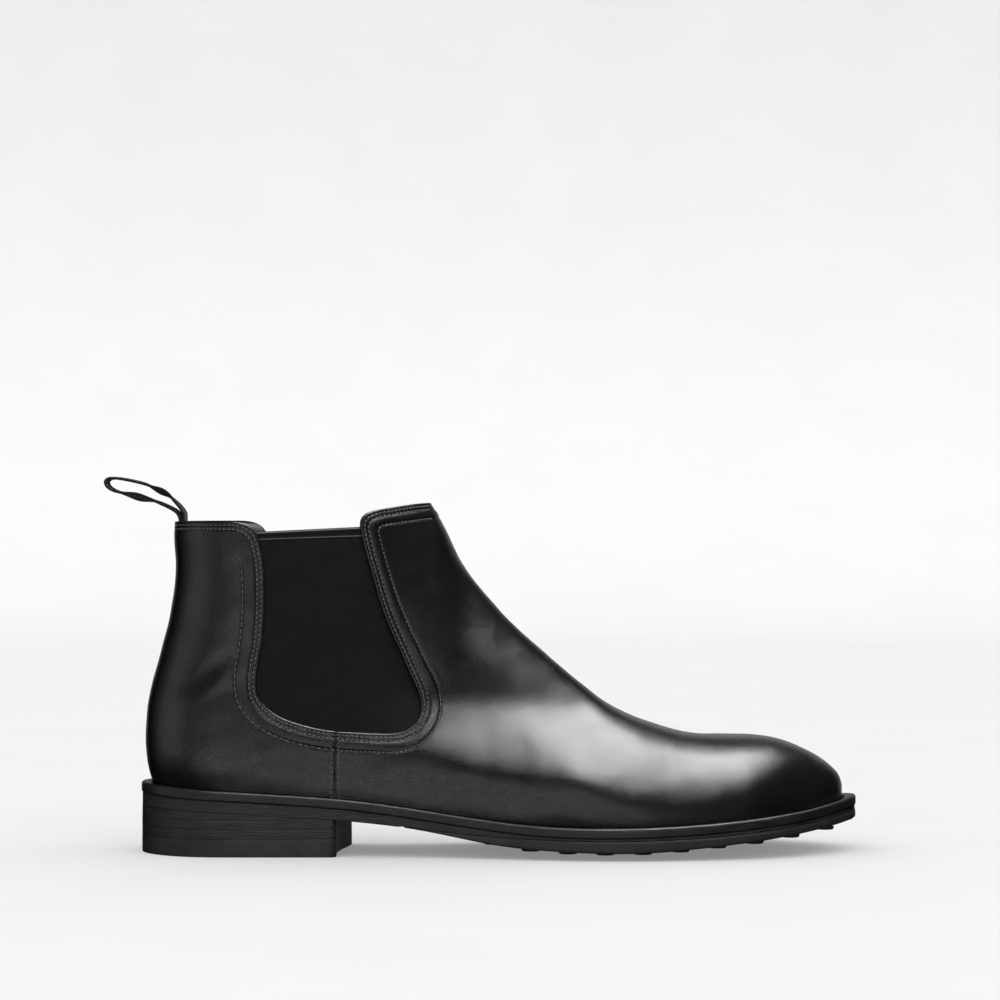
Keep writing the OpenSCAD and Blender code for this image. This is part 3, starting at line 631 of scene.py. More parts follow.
def edge_leather(name, dark, light, rough, layers):
    """Cut, inked and burnished leather edge: fine fibres and thin layers along the edge."""
    m, nt, b = material(name, dark, rough, Specular_IOR_Level=0.4)
    v = coords(nt, (18, 18, 420))
    fib = noise(nt, v, 6, 4, 0.65)
    soft = noise(nt, coords(nt), 60, 3, 0.5)
    mixv = calc(nt, "ADD", calc(nt, "MULTIPLY", fib, 0.6), calc(nt, "MULTIPLY", soft, 0.4))
    nt.links.new(ramp(nt, mixv, [(0.36, dark), (0.66, light)]), b.inputs["Base Color"])
    nt.links.new(span(nt, fib, 0.3, 0.7, rough - 0.07, rough + 0.10), b.inputs["Roughness"])
    bumps(nt, b, (fib, 0.9 * layers, 0.0004), (noise(nt, coords(nt), 1500, 3, 0.6), 0.25, 0.00006))
    return m


M_WELT = edge_leather("welt_edge_leather", (0.0030, 0.0030, 0.0033), (0.0095, 0.0092, 0.0092), 0.37, 0.6)
M_MID = edge_leather("sole_edge_leather", (0.0044, 0.0034, 0.0031), (0.0165, 0.0122, 0.0110), 0.48, 1.0)
M_LIFT = edge_leather("heel_lift_leather", (0.0030, 0.0028, 0.0029), (0.0125, 0.0115, 0.0113), 0.48, 1.0)


def rubber(name):
    m, nt, b = material(name, (0.018, 0.018, 0.019), 0.55, Specular_IOR_Level=0.4)
    v = coords(nt)
    a = noise(nt, v, 70, 3, 0.6)
    f = noise(nt, v, 2200, 3, 0.6)
    nt.links.new(ramp(nt, a, [(0.3, (0.0040, 0.0040, 0.0046)), (0.72, (0.0105, 0.0105, 0.011))]), b.inputs["Base Color"])
    nt.links.new(span(nt, f, 0.3, 0.7, 0.48, 0.66), b.inputs["Roughness"])
    bumps(nt, b, (f, 0.3, 0.00005), (a, 0.1, 0.0004))
    return m


M_RUBBER = rubber("sole_rubber_black")


def elastic(name):
    """Matt elastic web: cords running up, thin cross threads, a little lint."""
    m, nt, b = material(name, (0.008, 0.008, 0.0085), 0.82, Sheen_Weight=0.02, Sheen_Roughness=0.5, Specular_IOR_Level=0.12)
    v = coords(nt, (1, 1, 1), attr="web")
    w1 = wave(nt, v, 400, "X", dist=0.8, dscale=3)
    w2 = wave(nt, v, 560, "Y", dist=0.9, dscale=3)
    weave = calc(nt, "MULTIPLY", w1, w2)
    lint = noise(nt, v, 1500, 4, 0.75)
    big = noise(nt, v, 90, 2, 0.5)
    tone = calc(nt, "ADD", calc(nt, "MULTIPLY", weave, 0.45), calc(nt, "ADD", calc(nt, "MULTIPLY", lint, 0.4), calc(nt, "MULTIPLY", big, 0.15)))
    # painted highlight: two pale lines on the binding, on its top edge and on the raised ridge 3 mm below it, where the
    # light from above catches them
    sep = node(nt, "ShaderNodeSeparateXYZ")
    nt.links.new(v, sep.inputs[0])
    low = sep.outputs["Z"]
    painted_highlight_lines = calc(nt, "SUBTRACT", span(nt, low, 0.0026, 0.0028, 0, 0.9), span(nt, low, 0.0031, 0.0033, 0, 0.9))
    tone = calc(nt, "MAXIMUM", tone, calc(nt, "MAXIMUM", painted_highlight_lines, span(nt, low, 0.0003, 0.0006, 1, 0)))
    # the palest stop (0.085) is the colour of the painted highlight lines
    nt.links.new(ramp(nt, tone, [(0.2, (0.0012, 0.0012, 0.0014)), (0.5, (0.0032, 0.0032, 0.0035)), (0.75, (0.011, 0.011, 0.0115)),
                                 (1.0, (0.085, 0.085, 0.088))]), b.inputs["Base Color"])
    bumps(nt, b, (weave, 0.55, 0.00016), (lint, 0.5, 0.00012))
    return m


M_ELASTIC = elastic("gore_elastic_black")


def tape(name):
    m, nt, b = material(name, (0.011, 0.011, 0.012), 0.7, Sheen_Weight=0.03, Sheen_Roughness=0.4, Specular_IOR_Level=0.15)
    v = coords(nt, (1, 1, 1), attr="web")
    w1 = wave(nt, v, 420, "X", dist=0.3, dscale=3)
    w2 = wave(nt, v, 560, "Y", dist=0.3, dscale=3)
    weave = calc(nt, "MULTIPLY", w1, w2)
    # selvedge: thin pale picks in dashes close to each edge of the tape (Y runs across, -8 to 8 mm)
    sep = node(nt, "ShaderNodeSeparateXYZ")
    nt.links.new(v, sep.inputs[0])
    ay = node(nt, "ShaderNodeMath", operation="ABSOLUTE")
    nt.links.new(sep.outputs["Y"], ay.inputs[0])
    edge = calc(nt, "SUBTRACT", span(nt, ay.outputs[0], 0.0066, 0.0069, 0, 1), span(nt, ay.outputs[0], 0.0074, 0.0076, 0, 1))
    dash = span(nt, wave(nt, v, 120, "X"), 0.45, 0.6, 0, 1)
    lint = noise(nt, v, 2400, 3, 0.7)
    mask = calc(nt, "MULTIPLY", edge, dash)
    base = ramp(nt, calc(nt, "ADD", calc(nt, "MULTIPLY", weave, 0.6), calc(nt, "MULTIPLY", lint, 0.4)), [(0.2, (0.0025, 0.0025, 0.0028)), (0.8, (0.011, 0.011, 0.0115))])
    mixn = node(nt, "ShaderNodeMix", data_type="RGBA")
    nt.links.new(mask, mixn.inputs["Factor"])
    nt.links.new(base, mixn.inputs["A"])
    mixn.inputs["B"].default_value = (0.075, 0.075, 0.078, 1)
    nt.links.new(mixn.outputs["Result"], b.inputs["Base Color"])
    bumps(nt, b, (weave, 0.6, 0.00012), (lint, 0.3, 0.00006))
    return m


M_TAPE = tape("pull_tape_black")


def thread(name):
    m, nt, b = material(name, (0.020, 0.020, 0.021), 0.45, Sheen_Weight=0.1)
    v = coords(nt)
    f = noise(nt, v, 3500, 3, 0.6)
    s = noise(nt, v, 300, 2, 0.5)
    nt.links.new(ramp(nt, s, [(0.3, (0.022, 0.022, 0.023)), (0.7, (0.052, 0.052, 0.054))]), b.inputs["Base Color"])
    nt.links.new(span(nt, f, 0.3, 0.7, 0.36, 0.55), b.inputs["Roughness"])
    bumps(nt, b, (f, 0.4, 0.00005))
    return m


M_THREAD = thread("stitch_thread_black")


def grainy(name, a, c, rough, scale, stretch=(1, 1, 1), metal=0.0, bump=0.3, flecks=None):
    m, nt, b = material(name, a, rough, Metallic=metal)
    v = coords(nt, stretch)
    n1 = noise(nt, v, scale, 4, 0.6)
    n2 = noise(nt, v, scale * 7, 3, 0.6)
    t = calc(nt, "ADD", calc(nt, "MULTIPLY", n1, 0.6), calc(nt, "MULTIPLY", n2, 0.4))
    if flecks:
        t = calc(nt, "MULTIPLY", t, span(nt, voronoi(nt, v, flecks), 0.0, 0.12, 0.55, 1.0))
    nt.links.new(ramp(nt, t, [(0.3, a), (0.68, c)]), b.inputs["Base Color"])
    nt.links.new(span(nt, n2, 0.3, 0.7, rough - 0.06, rough + 0.08), b.inputs["Roughness"])
    bumps(nt, b, (t, bump, 0.0002))
    return m


M_BOARD = grainy("leatherboard_tan", (0.34, 0.24, 0.15), (0.52, 0.40, 0.27), 0.75, 180, (1, 1, 1), 0, 0.35)
M_STIFF = grainy("stiffener_fibreboard", (0.40, 0.31, 0.20), (0.60, 0.49, 0.35), 0.7, 240, (1, 1, 1), 0, 0.3)
M_STEEL = grainy("shank_spring_steel", (0.40, 0.41, 0.43), (0.58, 0.59, 0.60), 0.32, 900, (0.04, 1, 1), 1.0, 0.15)
M_CORK = grainy("cork_filler_brown", (0.20, 0.12, 0.06), (0.46, 0.31, 0.18), 0.8, 260, (1, 1, 1), 0, 0.6, 380)
M_BRASS = grainy("nail_brass_worn", (0.34, 0.26, 0.11), (0.58, 0.46, 0.22), 0.36, 900, (1, 1, 1), 1.0, 0.2)


def dress(ob, mat_):
    ob.data.materials.clear()
    ob.data.materials.append(mat_)
    return ob


def piece(name, V, F, mat_, replaces=(), body="boot", sharp=40, web=None):
    ob = to_object(name, V, F, sharp)
    if web is not None:
        a = ob.data.attributes.new("web", "FLOAT_VECTOR", "POINT")
        a.data.foreach_set("vector", np.ascontiguousarray(web, dtype=np.float32).reshape(-1))
    dress(ob, mat_)
    if body:
        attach(ob, body)
    if replaces:
        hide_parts(*replaces)
    return ob


# =====================================================================================
# Upper
# =====================================================================================
SKIN_T = 1.38


def raise_skin(V, F, R):
    N = vertex_normals(V, F)
    assert (N[:, 1] * (V[:, 1] - MID(V[:, 0]))).sum() > 0
    W = V + N * R[:, None]
    seam = np.abs(V[:, 0] - 84)
    W = W - N * (0.30 * np.exp(-(seam / 0.42) ** 2) * (V[:, 2] < 53.5))[:, None]
    return W, N


V, F, R = vamp_skin()
F, _ = outward(V, F)
W, N = raise_skin(V, F, R)
VV, FF = thicken(W, F, SKIN_T, N)
piece("vamp_leather", VV, FF, M_UPPER, ("vamp",), sharp=50)

for side, s in (("lateral", -1), ("medial", 1)):
    V, F, R = quarter_skin(s)
    F, _ = outward(V, F)
    back = (np.abs(V[:, 1]) < 1e-6)
    W, N = raise_skin(V, F, R)
    N[back] = [-1, 0, 0]
    off = np.abs(V[:, 1])
    W = W - N * (0.22 * np.exp(-(off / 0.5) ** 2))[:, None]
    W[back, 1] = 0.03 * s
    VV, FF = thicken(W, F, SKIN_T, N)
    # keep each quarter on its own side of the back seam
    VV[:, 1] = np.where(VV[:, 1] * s < 0.03, 0.03 * s, VV[:, 1])
    piece("quarter_leather_" + side, VV, FF, M_UPPER, ("quarter_" + side,), sharp=50)

# linings: plain skins 3 mm down, rising to meet the leather at the collar
V, F, R = vamp_skin(3.0, 0.5, 0.6, True)
F, _ = outward(V, F)
VV, FF = thicken(V, F, 0.9)
piece("vamp_lining_leather", VV, FF, M_LINING, ("vamp_lining",), sharp=50)
V, F, R = quarter_skin(0, 3.0, 0.5, 0.6, True, True)
F, _ = outward(V, F)
VV, FF = thicken(V, F, 0.9)
piece("quarter_lining_leather", VV, FF, M_LINING, ("quarter_lining",), sharp=50)

# gores: elastic web behind the window, its top edge turned and bound
G_REAR = table([[44.5, 76], [46, 67], [49, 58.5], [53, 52], [58, 47.5], [64, 44.6], [72, 43.2], [83, 44.3],
                [93, 45.6], [105, 46.4], [116, 46.4], [126, 45.6], [138, 44.6]])
G_FRONT = table([[44.5, 92], [45.2, 104], [47, 113], [50, 119.5], [54, 124], [60, 126.8], [66, 127], [76, 122.8],
                 [86, 118.6], [96, 114.2], [107, 110.4], [117, 107.4], [126, 104.8], [138, 102.6]])
for side, s in (("lateral", -1), ("medial", 1)):
    u = np.linspace(0, 1, 121)[:, None]
    t = np.linspace(0, 1, 141)
    z = 44.5 + (135.9 - 44.5) * (1 - (1 - t) ** 1.35)[None, :]
    x0, x1 = G_REAR(z), G_FRONT(z)
    X = x0 + (x1 - x0) * u
    Z = z + np.where(z > 125, (z - 125) * (X - 60) * 0.0045, 0)
    P = on_skin(X, Z, s, 1.65)
    n, m = X.shape
    top = 135.9 - z + 0 * X
    R = -0.10 * (1 - sstep(top / 0.5)) + 0.16 * np.exp(-((top - 0.9) / 0.6) ** 2) - 0.14 * np.exp(-((top - 1.9) / 0.22) ** 2) \
        + 0.10 * np.exp(-((top - 2.8) / 0.6) ** 2) - 0.12 * np.exp(-((top - 3.9) / 0.25) ** 2)
    R = R + 0.10 * np.sin(X * 0.9 + 0.7 * np.sin(Z * 0.08)) * sstep((Z - 60) / 20) * 0.5
    F = [list(map(int, f)) for f in grid_faces(n, m, 0, s < 0)]
    V = P.reshape(-1, 3)
    N = vertex_normals(V, F)
    if (N[:, 1] * s).mean() < 0:
        F = [f[::-1] for f in F]
        N = -N
    VV, FF = thicken(V + N * R.reshape(-1)[:, None], F, 0.95, N)
    web = np.stack([X / 1000, Z / 1000, top / 1000], -1).reshape(-1, 3)
    g = piece("gore_web_" + side, VV, FF, M_ELASTIC, ("gore_" + side,), sharp=50, web=np.concatenate([web, web]))
    a = VV[[i for f in FF for i in (f[0], f[1], f[2])]].reshape(-1, 3, 3)
    tri = 0.0
    for f in FF[:len(F)]:
        q = VV[f]
        tri += 0.5 * np.linalg.norm(np.cross(q[1] - q[0], q[2] - q[0])) + 0.5 * np.linalg.norm(np.cross(q[2] - q[0], q[3] - q[0]))


# =====================================================================================
# Sole and heel
# =====================================================================================
def stations(a, b, n):
    return a + (b - a) * (1 - np.cos(np.pi * np.arange(n + 1) / n)) / 2


def sole_half(x, s):
    return np.where(s < 0, SOLE_L(x), SOLE_M(x)) * rnd(x / 34) * rnd((305 - x) / 48)


def sole_loop(n, inset=0.0, a=0.0, b=305.0):
    """Closed plan outline, lateral side first, of the sole pulled in by inset."""
    X = stations(a, b, n)
    lo = np.stack([X, MID(X) - sole_half(X, -1)], 1)
    hi = np.stack([X, MID(X) + sole_half(X, 1)], 1)[::-1][1:-1]
    P = np.concatenate([lo, hi])
    return P - loop_normals(P) * inset


def loop_normals(P):
    T = np.roll(P, -1, 0) - np.roll(P, 1, 0)
    T /= np.linalg.norm(T, axis=1)[:, None]
    return np.stack([T[:, 1], -T[:, 0]], 1)                      # outward for a loop that runs counter-clockwise


def foot_loop(d, n):
    a, b = 5.4 + d, 299.0 - d
    X = stations(a, b, n)

    def w(s):
        return (np.where(s < 0, FOOT_L(X), FOOT_M(X)) - d) * rnd((X - a) / (33 - d)) * rnd((b - X) / (45 - d))
    lo = np.stack([X, MID(X) - w(-1)], 1)
    hi = np.stack([X, MID(X) + w(1)], 1)[::-1][1:-1]
    return np.concatenate([lo, hi])


def ring_stack(rings, cap_low=None, cap_high=None):
    """Tube of side faces from rings (each n x 3, bottom to top), open at both ends; cap_low and cap_high are not used.
    """
    n = len(rings[0])
    V = np.concatenate(rings)
    F = []
    for k in range(len(rings) - 1):
        for i in range(n):
            j = (i + 1) % n
            F.append([k * n + i, k * n + j, (k + 1) * n + j, (k + 1) * n + i])
    return V, F


def cap(V, F, ring, n, rows, zf, flip):
    """Close a sole-shaped ring: n stations on each side join across in rows, height from zf(x, y)."""
    # ring index i (lateral, 0..n) pairs with 2n - i (medial)
    L = ring[:n + 1]
    Rr = np.concatenate([ring[:1], ring[::-1][:n - 1], ring[n:n + 1]])
    base = len(V)
    idx = np.zeros((n + 1, rows + 1), int)
    new = []
    r0 = 0
    for i in range(n + 1):
        for j in range(rows + 1):
            if j == 0 or i in (0, n):
                idx[i, j] = -(i + 1)
            elif j == rows:
                idx[i, j] = -((2 * n - i) + 1)
            else:
                t = 0.5 - 0.5 * math.cos(math.pi * j / rows)
                p = L[i] * (1 - t) + Rr[i] * t
                new.append([p[0], p[1], zf(p[0], p[1], t)])
                idx[i, j] = base + len(new) - 1
    return L, Rr, new, idx


def close_cap(V, F, first, n, rows, zf, flip):
    ring = V[first:first + 2 * n]
    L, Rr, new, idx = cap(V, F, ring, n, rows, zf, flip)
    V = np.concatenate([V, np.array(new)])
    for i in range(n):
        for j in range(rows):
            q = [idx[i, j], idx[i + 1, j], idx[i + 1, j + 1], idx[i, j + 1]]
            q = [first + (-k - 1) if k < 0 else k for k in q]
            g = []
            for k in q:
                if k not in g:
                    g.append(k)
            if len(g) >= 3:
                F.append(g[::-1] if flip else g)
    return V, F


def fix_up(V, F):
    """Weld, and make the faces point outward."""
    V, F, _ = weld(np.asarray(V, float), np.array([f if len(f) == 4 else f + [f[-1]] for f in F]), tol=1e-4)
    bm = bmesh.new()
    vs = [bm.verts.new(v) for v in V]
    for f in F:
        try:
            bm.faces.new([vs[i] for i in f])
        except ValueError:
            pass
    bmesh.ops.recalc_face_normals(bm, faces=bm.faces[:])
    bm.verts.index_update()
    F = [[v.index for v in f.verts] for f in bm.faces]
    bm.free()
    return V, F


def slab(outline, lo, hi, edge, n, bulge=0.0, rows=10, lo_in=None, hi_in=None, grooves=()):
    """Layer with rounded edges: outline(inset) is a closed loop, lo and hi are heights over (x, y)."""
    prof = []
    ang = np.linspace(0, math.pi / 2, 5)
    for a in ang[::-1]:
        prof.append((edge * (1 - math.cos(a)) if False else edge * (1 - math.sin(math.pi / 2 - a)), 0, -edge * 0 + edge * (1 - math.cos(math.pi / 2 - a))))
    # prof rows: (inset, which end, height above that end)
    P0 = outline(0.0)
    Nn = loop_normals(P0)
    rings = []

    def ring(inset, h):
        P = P0 - Nn * inset
        zl, zh = lo(P0[:, 0], P0[:, 1]), hi(P0[:, 0], P0[:, 1])
        return np.column_stack([P, zl + h * (zh - zl)]), zh - zl
    for a in np.linspace(0, math.pi / 2, 5):
        P = P0 - Nn * (edge * (1 - math.sin(a)))
        rings.append(np.column_stack([P, lo(P0[:, 0], P0[:, 1]) + edge * (1 - math.cos(a))]))
    zl, zh = lo(P0[:, 0], P0[:, 1]) + edge, hi(P0[:, 0], P0[:, 1]) - edge
    ts = sorted(set([round(t, 4) for t in np.linspace(0, 1, 7)[1:-1]] + [g + e for g, _, wd in grooves for e in (-wd, 0, wd)]))
    for t in ts:
        out = bulge * 4 * t * (1 - t)
        for g, dep, wd in grooves:
            if abs(t - g) < 1e-6:
                out -= dep
        rings.append(np.column_stack([P0 + Nn * out, zl + (zh - zl) * t]))
    for a in np.linspace(math.pi / 2, 0, 5):
        P = P0 - Nn * (edge * (1 - math.sin(a)))
        rings.append(np.column_stack([P, hi(P0[:, 0], P0[:, 1]) - edge * (1 - math.cos(a))]))
    V, F = ring_stack(rings)
    m = len(P0)
    V, F = close_cap(V, F, 0, n, rows, lambda x, y, t: float((lo_in or lo)(np.array(x), np.array(y))), True)
    V, F = close_cap(V, F, (len(rings) - 1) * m, n, rows, lambda x, y, t: float((hi_in or hi)(np.array(x), np.array(y))), False)
    return fix_up(V, F)


NS = 110
# welt: a ring that follows the sole edge, its top edge bevelled, fudge-wheeled by fine notches
def welt_piece():
    Po, Pi = sole_loop(NS), foot_loop(-1.35, NS)
    L = np.concatenate([[0], np.cumsum(np.linalg.norm(np.diff(Po, axis=0), axis=1))])
    # resample both loops evenly, for the fine notches
    per = L[-1] + np.linalg.norm(Po[0] - Po[-1])
    Lc = np.append(L, per)
    M = 1500
    q = np.linspace(0, per, M, endpoint=False)
    Poc, Pic = np.vstack([Po, Po[:1]]), np.vstack([Pi, Pi[:1]])
    Po = np.stack([np.interp(q, Lc, Poc[:, k]) for k in (0, 1)], 1)
    Pi = np.stack([np.interp(q, Lc, Pic[:, k]) for k in (0, 1)], 1)
    for _ in range(6):
        Po = (np.roll(Po, 1, 0) + 2 * Po + np.roll(Po, -1, 0)) / 4
    Nn = loop_normals(Po)
    lo, hi = mid_top(Po[:, 0]) + 0.1, WELT_TOP(Po[:, 0])
    hin, lin = WELT_TOP(Pi[:, 0]), mid_top(Pi[:, 0]) + 0.1
    # prof: (distance in from the outer edge, height 0..1, height offset mm)
    prof = [(0.55, 0, 0), (0.2, 0, 0.10), (0.03, 0, 0.36), (0.0, 0, 0.8), (0.0, 0.45, 0), (0.0, 1, -1.15),
            (0.03, 1, -0.80), (0.14, 1, -0.48), (0.34, 1, -0.22), (0.62, 1, -0.06), (0.9, 1, 0.0), (1.1, 1, -0.02), (1.4, 1, -0.12), (1.8, 1, -0.02)]
    notch = 0.05 * np.cos(2 * np.pi * q / per * round(per / 2.3))
    rings = []
    for k, (d, h, o) in enumerate(prof):
        P = Po - Nn * d
        z = lo + (hi - lo) * h + o
        if 9 <= k <= 13:
            z = z + notch * (1 if k < 13 else 0.4)
        rings.append(np.column_stack([P, z]))
    rings.append(np.column_stack([Pi, hin]))
    rings.append(np.column_stack([Pi, lin]))
    V = np.concatenate(rings)
    F = []
    K = len(rings)
    for k in range(K):
        k2 = (k + 1) % K
        for i in range(M):
            j = (i + 1) % M
            F.append([k * M + i, k * M + j, k2 * M + j, k2 * M + i])
    return V, F


V, F = welt_piece()
piece("welt_leather", V, F, M_WELT, ("welt",), sharp=60)


def mid_low(x, y=0):
    x = np.asarray(x, float)
    return np.where(x < 112, RIM(x), OUT_TOP(x) + 0.1)


V, F = slab(lambda i: sole_loop(NS, 0.45 + i), lambda x, y: mid_low(x), lambda x, y: mid_top(x), 0.35, NS, 0.0, 12)
piece("midsole_leather", V, F, M_MID, ("midsole",), sharp=40)


# outsole: rubber forepart with a crowned underside, and round studs
def tread(x):
    return RIM(x) - 3.1 * sstep((x - 125) / 60) * (1 - 0.45 * sstep((x - 245) / 55))


def half_at(x, y):
    return np.where(np.asarray(y) < MID(x), SOLE_L(x), SOLE_M(x)) * rnd(x / 34) * rnd((305 - x) / 48)


def sole_low(x, y):
    return RIM(x)


def fore_loop(n, inset=0.0):
    X = stations(112.6, 305.0, n)
    X = 112.6 + (305 - 112.6) * np.sin(np.linspace(0, np.pi / 2, n + 1))
    lo = np.stack([X, MID(X) - sole_half(X, -1)], 1)
    hi = np.stack([X, MID(X) + sole_half(X, 1)], 1)[::-1][1:]
    P = np.concatenate([lo, hi])
    Nn = loop_normals(P)
    Nn[0] = (-0.7, -0.7)
    Nn[-1] = (-0.7, 0.7)
    return P - Nn * inset


def outsole_piece():
    n = 120
    P0 = fore_loop(n, 0.15)
    Nn = loop_normals(P0)
    Nn[0], Nn[-1] = (-0.7, -0.7), (-0.7, 0.7)
    lo, hi = RIM(P0[:, 0]), OUT_TOP(P0[:, 0])
    rings = []
    for d, h, o in [(1.1, 0, 0.0), (0.5, 0, 0.06), (0.18, 0, 0.22), (0.03, 0, 0.5), (0, 0.35, 0.0), (0.0, 0.6, 0), (0.02, 1, -0.62), (0.16, 1, -0.46), (0.16, 1, -0.40),
                    (0.0, 1, -0.26), (0.10, 1, -0.08), (0.4, 1, 0.0)]:
        rings.append(np.column_stack([P0 - Nn * d, lo + (hi - lo) * h + o * np.clip((hi - lo) / 2.0, 0.05, 1)]))
    V, F = ring_stack(rings)
    # lateral stations 0..n, medial back to the breast: pair i with 2n - i
    m = len(P0)

    def capit(V, F, first, z):
        ring = V[first:first + m]
        rows = 14
        idx = np.zeros((n + 1, rows + 1), int)
        new = []
        for i in range(n + 1):
            a, b = ring[i], ring[2 * n - i]
            for j in range(rows + 1):
                if j == 0:
                    idx[i, j] = first + i
                elif j == rows or i == n:
                    idx[i, j] = first + 2 * n - i
                else:
                    t = 0.5 - 0.5 * math.cos(math.pi * j / rows)
                    p = a * (1 - t) + b * t
                    new.append([p[0], p[1], z(p[0], p[1], 2 * t - 1, p[2])])
                    idx[i, j] = len(V) + len(new) - 1
        V = np.concatenate([V, np.array(new)])
        for i in range(n):
            for j in range(rows):
                g = []
                for k in (idx[i, j], idx[i + 1, j], idx[i + 1, j + 1], idx[i, j + 1]):
                    if k not in g:
                        g.append(int(k))
                if len(g) >= 3:
                    F.append(g)
        return V, F, idx
    V, F, i0 = capit(V, F, 0, lambda x, y, t, z0: float(RIM(x) - 0.62 * (RIM(x) - tread(x)) * (1 - t * t)) * (1 - t ** 8) + z0 * t ** 8)
    V, F, i1 = capit(V, F, (len(rings) - 1) * m, lambda x, y, t, z0: z0)
    return fix_up(V, F)


V, F = outsole_piece()
SV, SF = [V], [list(f) for f in F]
base = len(V)
ring_n = 28
for i, x in enumerate(np.arange(150, 290.1, 15.5)):
    for r in (-3, -2, -1, 0, 1, 2, 3):
        pitch = 14 if x < 235 else (13.4 if x < 262 else 11.4)
        y = float(MID(x)) + r * pitch
        hh = float(half_at(x, y))
        if abs(y - float(MID(x))) > hh - 5.4 or x > 292:
            continue
        q = abs(y - float(MID(x))) / max(8, hh)
        drop_ = float(RIM(x)) - float(tread(x))
        under = float(RIM(x)) - 0.62 * drop_ * (1 - q * q)
        lowest = max(0.02, min(under - 0.55, float(RIM(x)) - drop_ * (1 - q * q)))
        top = under + 0.7
        a = 2 * np.pi * np.arange(ring_n) / ring_n
        prof = [(4.15, top), (4.0, top - 0.6), (3.92, lowest + 0.45), (3.78, lowest + 0.16), (3.45, lowest), (1.9, lowest), (1.72, lowest + 0.12),
                (1.45, lowest + 0.55), (0.9, lowest + 0.62)]
        for rr, zz in prof:
            SV.append(np.column_stack([x + rr * np.cos(a), y + rr * np.sin(a), np.full(ring_n, zz)]))
        k = len(prof)
        for p_ in range(k - 1):
            for c in range(ring_n):
                d_ = (c + 1) % ring_n
                SF.append([base + p_ * ring_n + c, base + p_ * ring_n + d_, base + (p_ + 1) * ring_n + d_, base + (p_ + 1) * ring_n + c][::-1])
        SF.append([base + c for c in range(ring_n)])
        SF.append([base + (k - 1) * ring_n + c for c in range(ring_n)][::-1])
        base += k * ring_n
piece("outsole_rubber", np.concatenate(SV), SF, M_RUBBER, ("outsole",), sharp=40)


# heel: breast line across, then layers with rounded edges
def heel_loop(n, inset=0.3):
    X = stations(0, 166, 2 * n)[:n + 1]
    X = 83.0 * (1 - np.cos(np.linspace(0, np.pi / 2, n + 1)))
    lo = np.stack([X, MID(X) - sole_half(X, -1)], 1)[::-1]         # breast to the back, lateral
    hi = np.stack([X, MID(X) + sole_half(X, 1)], 1)[1:]            # back to the breast, medial
    br = np.array([(86, 33.6 - 2.4), (88.2, 30.4), (89.2, 27.5), (89.2, 24), (88.6, 18), (87.2, 10), (85.6, 2), (84.3, -6), (83.9, -14), (84.1, -22),
                   (84.6, -28.4), (85.0, -31.6), (84.6, -33.4)])
    P = np.concatenate([lo, hi, br])[::-1]                          # counter-clockwise
    for _ in range(2):
        P = (np.roll(P, 1, 0) + 2 * P + np.roll(P, -1, 0)) / 4
    # even spacing
    C = np.vstack([P, P[:1]])
    L = np.concatenate([[0], np.cumsum(np.linalg.norm(np.diff(C, axis=0), axis=1))])
    q = np.linspace(0, L[-1], 2 * n, endpoint=False)
    P = np.stack([np.interp(q, L, C[:, k]) for k in (0, 1)], 1)
    A = 0.5 * np.sum(P[:, 0] * np.roll(P[:, 1], -1) - P[:, 1] * np.roll(P[:, 0], -1))
    if A < 0:
        P = P[::-1]
    return P - loop_normals(P) * inset


def heel_layer(lo, hi, edge, inset=0.3, bulge=0.0, holes=False, n=130):
    P0 = heel_loop(n, inset)
    Nn = loop_normals(P0)
    x = P0[:, 0]
    rings = []
    for a in np.linspace(0, math.pi / 2, 5):
        rings.append(np.column_stack([P0 - Nn * (edge * (1 - math.sin(a))), lo(x) + edge * (1 - math.cos(a))]))
    zl, zh = lo(x) + edge, hi(x) - edge
    for t in (0.2, 0.4, 0.6, 0.8):
        rings.append(np.column_stack([P0 + Nn * bulge * 4 * t * (1 - t), zl + (zh - zl) * t]))
    for a in np.linspace(math.pi / 2, 0, 5):
        rings.append(np.column_stack([P0 - Nn * (edge * (1 - math.sin(a))), hi(x) - edge * (1 - math.cos(a))]))
    V, F = ring_stack(rings)
    m = len(P0)
    c = P0.mean(0)
    for first, fn, flip in ((0, lo, True), ((len(rings) - 1) * m, hi, False)):
        prev = list(range(first, first + m))
        src = V[first:first + m, :2]
        for k, t in enumerate((0.2, 0.45, 0.7, 0.88)):
            Q = src * (1 - t) + c * t
            new = np.column_stack([Q, fn(Q[:, 0])])
            b0 = len(V)
            V = np.concatenate([V, new])
            cur = list(range(b0, b0 + m))
            for i in range(m):
                j = (i + 1) % m
                q = [prev[i], prev[j], cur[j], cur[i]]
                F.append(q[::-1] if not flip else q)
            prev = cur
        V = np.concatenate([V, [[c[0], c[1], float(fn(np.array(c[0])))]]])
        for i in range(m):
            F.append([prev[i], prev[(i + 1) % m], len(V) - 1])
    return fix_up(V, F)


def const(v):
    return lambda x: np.full_like(np.asarray(x, float), v)


V, F = heel_layer(const(0.0), const(7.4), 0.16)
piece("top_lift_rubber", V, F, M_RUBBER, ("top_lift",), sharp=40)
V, F = heel_layer(const(7.43), const(11.42), 0.11, 0.33, 0.02)
piece("heel_lift_lower_leather", V, F, M_LIFT, ("heel_lift_lower",), sharp=40)
V, F = heel_layer(const(11.44), const(15.32), 0.11, 0.33, 0.02)
piece("heel_lift_upper_leather", V, F, M_LIFT, ("heel_lift_upper",), sharp=40)
V, F = heel_layer(const(15.34), lambda x: np.maximum(RIM(x) - 0.03, 15.62), 0.12, 0.36, 0.0)
piece("heel_wedge_leather", V, F, M_LIFT, ("heel_wedge",), sharp=40)

